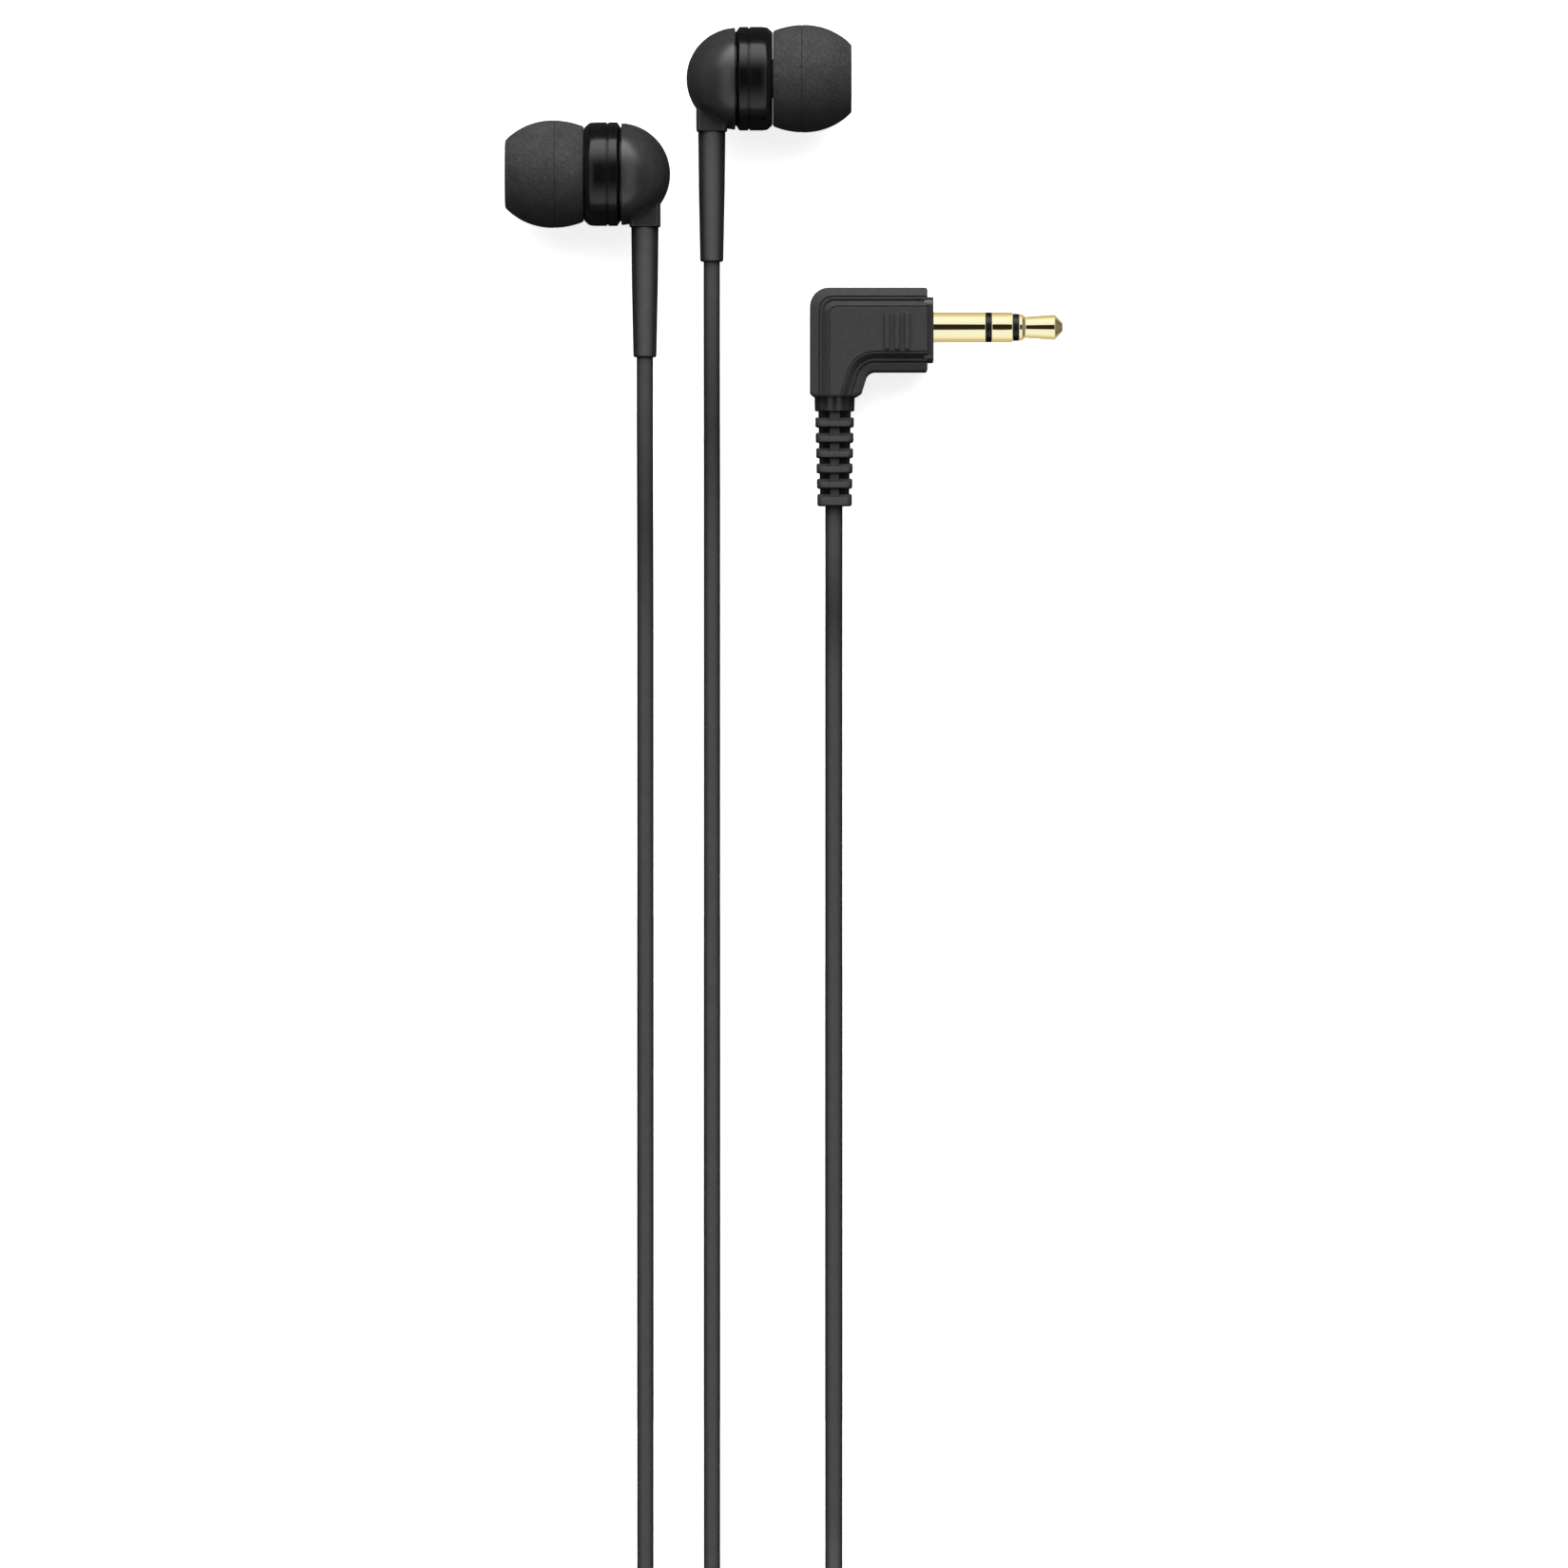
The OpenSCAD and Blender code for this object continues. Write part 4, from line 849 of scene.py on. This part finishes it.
paint_cad_nodes()
earpiece("left", -1)
earpiece("right", 1)
for ear in ("left", "right"):
    lead(ear, LEAD_R, LEAD_BORE, LEAD_TURN, ear + "_earpiece_tilt", ear + "_earpiece")
lead("plug", MAIN_R, MAIN_BORE, MAIN_TURN, "plug_tilt", "plug")
plug()
splitter()


# ---------------------------------------------------------------- stage

FAR_BOX, NEAR_BOX, STRIP = 2.0, 0.65, 0.45      # brightness of the lights in reflections
LENS_GAP, LOW_GLOW, GLOW_SPAN = 0.005, 0.12, (0.0, 0.75)    # the same round the lens, near the table
# Angles from overhead where each light begins, is full, begins to fade and ends
FAR_SPAN, NEAR_SPAN, STRIP_SPAN = (14, 66, 79, 84), (12, 62, 70, 76), (8, 18, 30, 44)
BOX_WIDTH, STRIP_LENGTH = (35, 60), (60, 78)    # where the boxes and strips fade out sideways
TABLE_LIFT = 0.8                                # extra light on the table as the lens sees it
TABLE_HALF, TABLE_GAP = 4.0, 0.00002            # metres: half its size, gap under the object
# Soft light on matte surfaces: brightest, least, lean of its centre to the far side, its edges
SKY, SKY_LEAST, SKY_LEAN, SKY_SPAN = 4.3, 0.13, 0.88, (0.5, 1.0)
# Camera: focal length and sensor; metres: width of the view, margin at its top, height in focus
LENS, SENSOR = 300, 36
VIEW_WIDTH, TOP_MARGIN, VIEW_HEIGHT = 0.1815, 0.0029, 0.006


def floor_material():
    """Pale table top that gives little light back to the object, as between dark flags."""
    material, tree, node, surface = shader("pale_floor")
    patches = noise(tree, node, 60, 3)
    camera_ray = node("ShaderNodeLightPath").outputs["Is Camera Ray"]
    mixer = node("ShaderNodeMix", data_type="RGBA")
    mixer.inputs["A"].default_value = (0.05, 0.05, 0.05, 1)
    tree.links.new(camera_ray, mixer.inputs["Factor"])
    tree.links.new(ramp(tree, node, patches, 0.93, 0.95), mixer.inputs["B"])
    tree.links.new(mixer.outputs["Result"], surface.inputs["Base Color"])
    lift = ramp(tree, node, camera_ray, 0.0, TABLE_LIFT, 0.0, 1.0)
    tree.links.new(lift, surface.inputs["Emission Color"])
    surface.inputs["Emission Strength"].default_value = 1.0
    surface.inputs["Roughness"].default_value = 0.9
    surface.inputs["Specular IOR Level"].default_value = 0.0
    return material


def stage():
    """The table under the object."""
    corners = [(-TABLE_HALF, -TABLE_HALF, 0), (TABLE_HALF, -TABLE_HALF, 0),
               (TABLE_HALF, TABLE_HALF, 0), (-TABLE_HALF, TABLE_HALF, 0)]
    mesh = bpy.data.meshes.new("floor")
    mesh.from_pydata(corners, [], [(0, 1, 2, 3)])
    mesh.materials.append(floor_material())
    table = bpy.data.objects.new("floor", mesh)
    table.location.z = cad_low.z - TABLE_GAP
    bpy.context.scene.collection.objects.link(table)


def node_maths(tree):
    """A shorthand for arithmetic between values and sockets of a node tree."""
    def calc(operation, *values):
        node = tree.nodes.new("ShaderNodeMath")
        node.operation = operation
        for value, socket in zip(values, node.inputs):
            if isinstance(value, (int, float)):
                socket.default_value = value
            else:
                tree.links.new(value, socket)
        return node.outputs[0]

    return calc


def reflected_lights(tree, calc, x, y, z):
    """What shiny surfaces mirror: softboxes, side strips, a glow near the table, a gap at the lens."""
    height = calc("MAXIMUM", z, 0.001)
    far = calc("ARCTAN2", y, height)
    near = calc("MULTIPLY", far, -1.0)
    aside = calc("ARCTAN2", calc("ABSOLUTE", x), height)

    def fade_out(value, start, end):
        return smooth_step(tree, value, math.radians(start), math.radians(end), 1.0, 0.0)

    def light(value, span, brightness):
        begun = smooth_step(tree, value, math.radians(span[0]), math.radians(span[1]))
        return calc("MULTIPLY", calc("MULTIPLY", begun, fade_out(value, *span[2:])), brightness)

    boxes = calc("ADD", light(far, FAR_SPAN, FAR_BOX), light(near, NEAR_SPAN, NEAR_BOX))
    boxes = calc("MULTIPLY", boxes, fade_out(aside, *BOX_WIDTH))
    strips = calc("MULTIPLY", light(aside, STRIP_SPAN, STRIP),
                  fade_out(calc("ABSOLUTE", far), *STRIP_LENGTH))
    around = smooth_step(tree, z, *GLOW_SPAN, LOW_GLOW, LENS_GAP)
    return calc("ADD", calc("MAXIMUM", boxes, strips), around)


def studio_light():
    """Lights all in the world: mirrored ones, soft ones for matte surfaces, white for the camera."""
    world = bpy.data.worlds.new("studio")
    bpy.context.scene.world = world
    world.use_nodes = True
    world.cycles.sampling_method = "NONE"
    tree = world.node_tree
    calc = node_maths(tree)
    place = tree.nodes.new("ShaderNodeTexCoord")
    split = tree.nodes.new("ShaderNodeSeparateXYZ")
    tree.links.new(place.outputs["Generated"], split.inputs["Vector"])
    x, y, z = split.outputs
    mirrored = reflected_lights(tree, calc, x, y, z)
    upright = math.sqrt(1 - SKY_LEAN ** 2)
    towards = calc("ADD", calc("MULTIPLY", y, SKY_LEAN), calc("MULTIPLY", z, upright))
    sky = smooth_step(tree, towards, *SKY_SPAN, SKY_LEAST, SKY)

    def choose(which, when, otherwise):
        rest = calc("MULTIPLY", otherwise, calc("SUBTRACT", 1.0, when))
        return calc("ADD", calc("MULTIPLY", which, when), rest)

    path = tree.nodes.new("ShaderNodeLightPath")
    level = choose(mirrored, path.outputs["Is Glossy Ray"], sky)
    level = choose(1.0, path.outputs["Is Camera Ray"], level)
    background = tree.nodes["Background"]
    background.inputs["Color"].default_value = (1, 1, 1, 1)
    tree.links.new(level, background.inputs["Strength"])


def camera():
    """Straight down on the table, framed as the product shot: the cables run out of the frame."""
    shot = bpy.data.cameras.new("shot")
    shot.lens, shot.sensor_width = LENS, SENSOR
    eye = bpy.data.objects.new("shot", shot)
    centre_y = cad_high.y + TOP_MARGIN - VIEW_WIDTH / 2
    eye.location = (0, centre_y, VIEW_WIDTH * LENS / SENSOR + VIEW_HEIGHT)
    bpy.context.scene.collection.objects.link(eye)
    bpy.context.scene.camera = eye
    bpy.context.scene.view_settings.view_transform = "Standard"


stage()
studio_light()
camera()
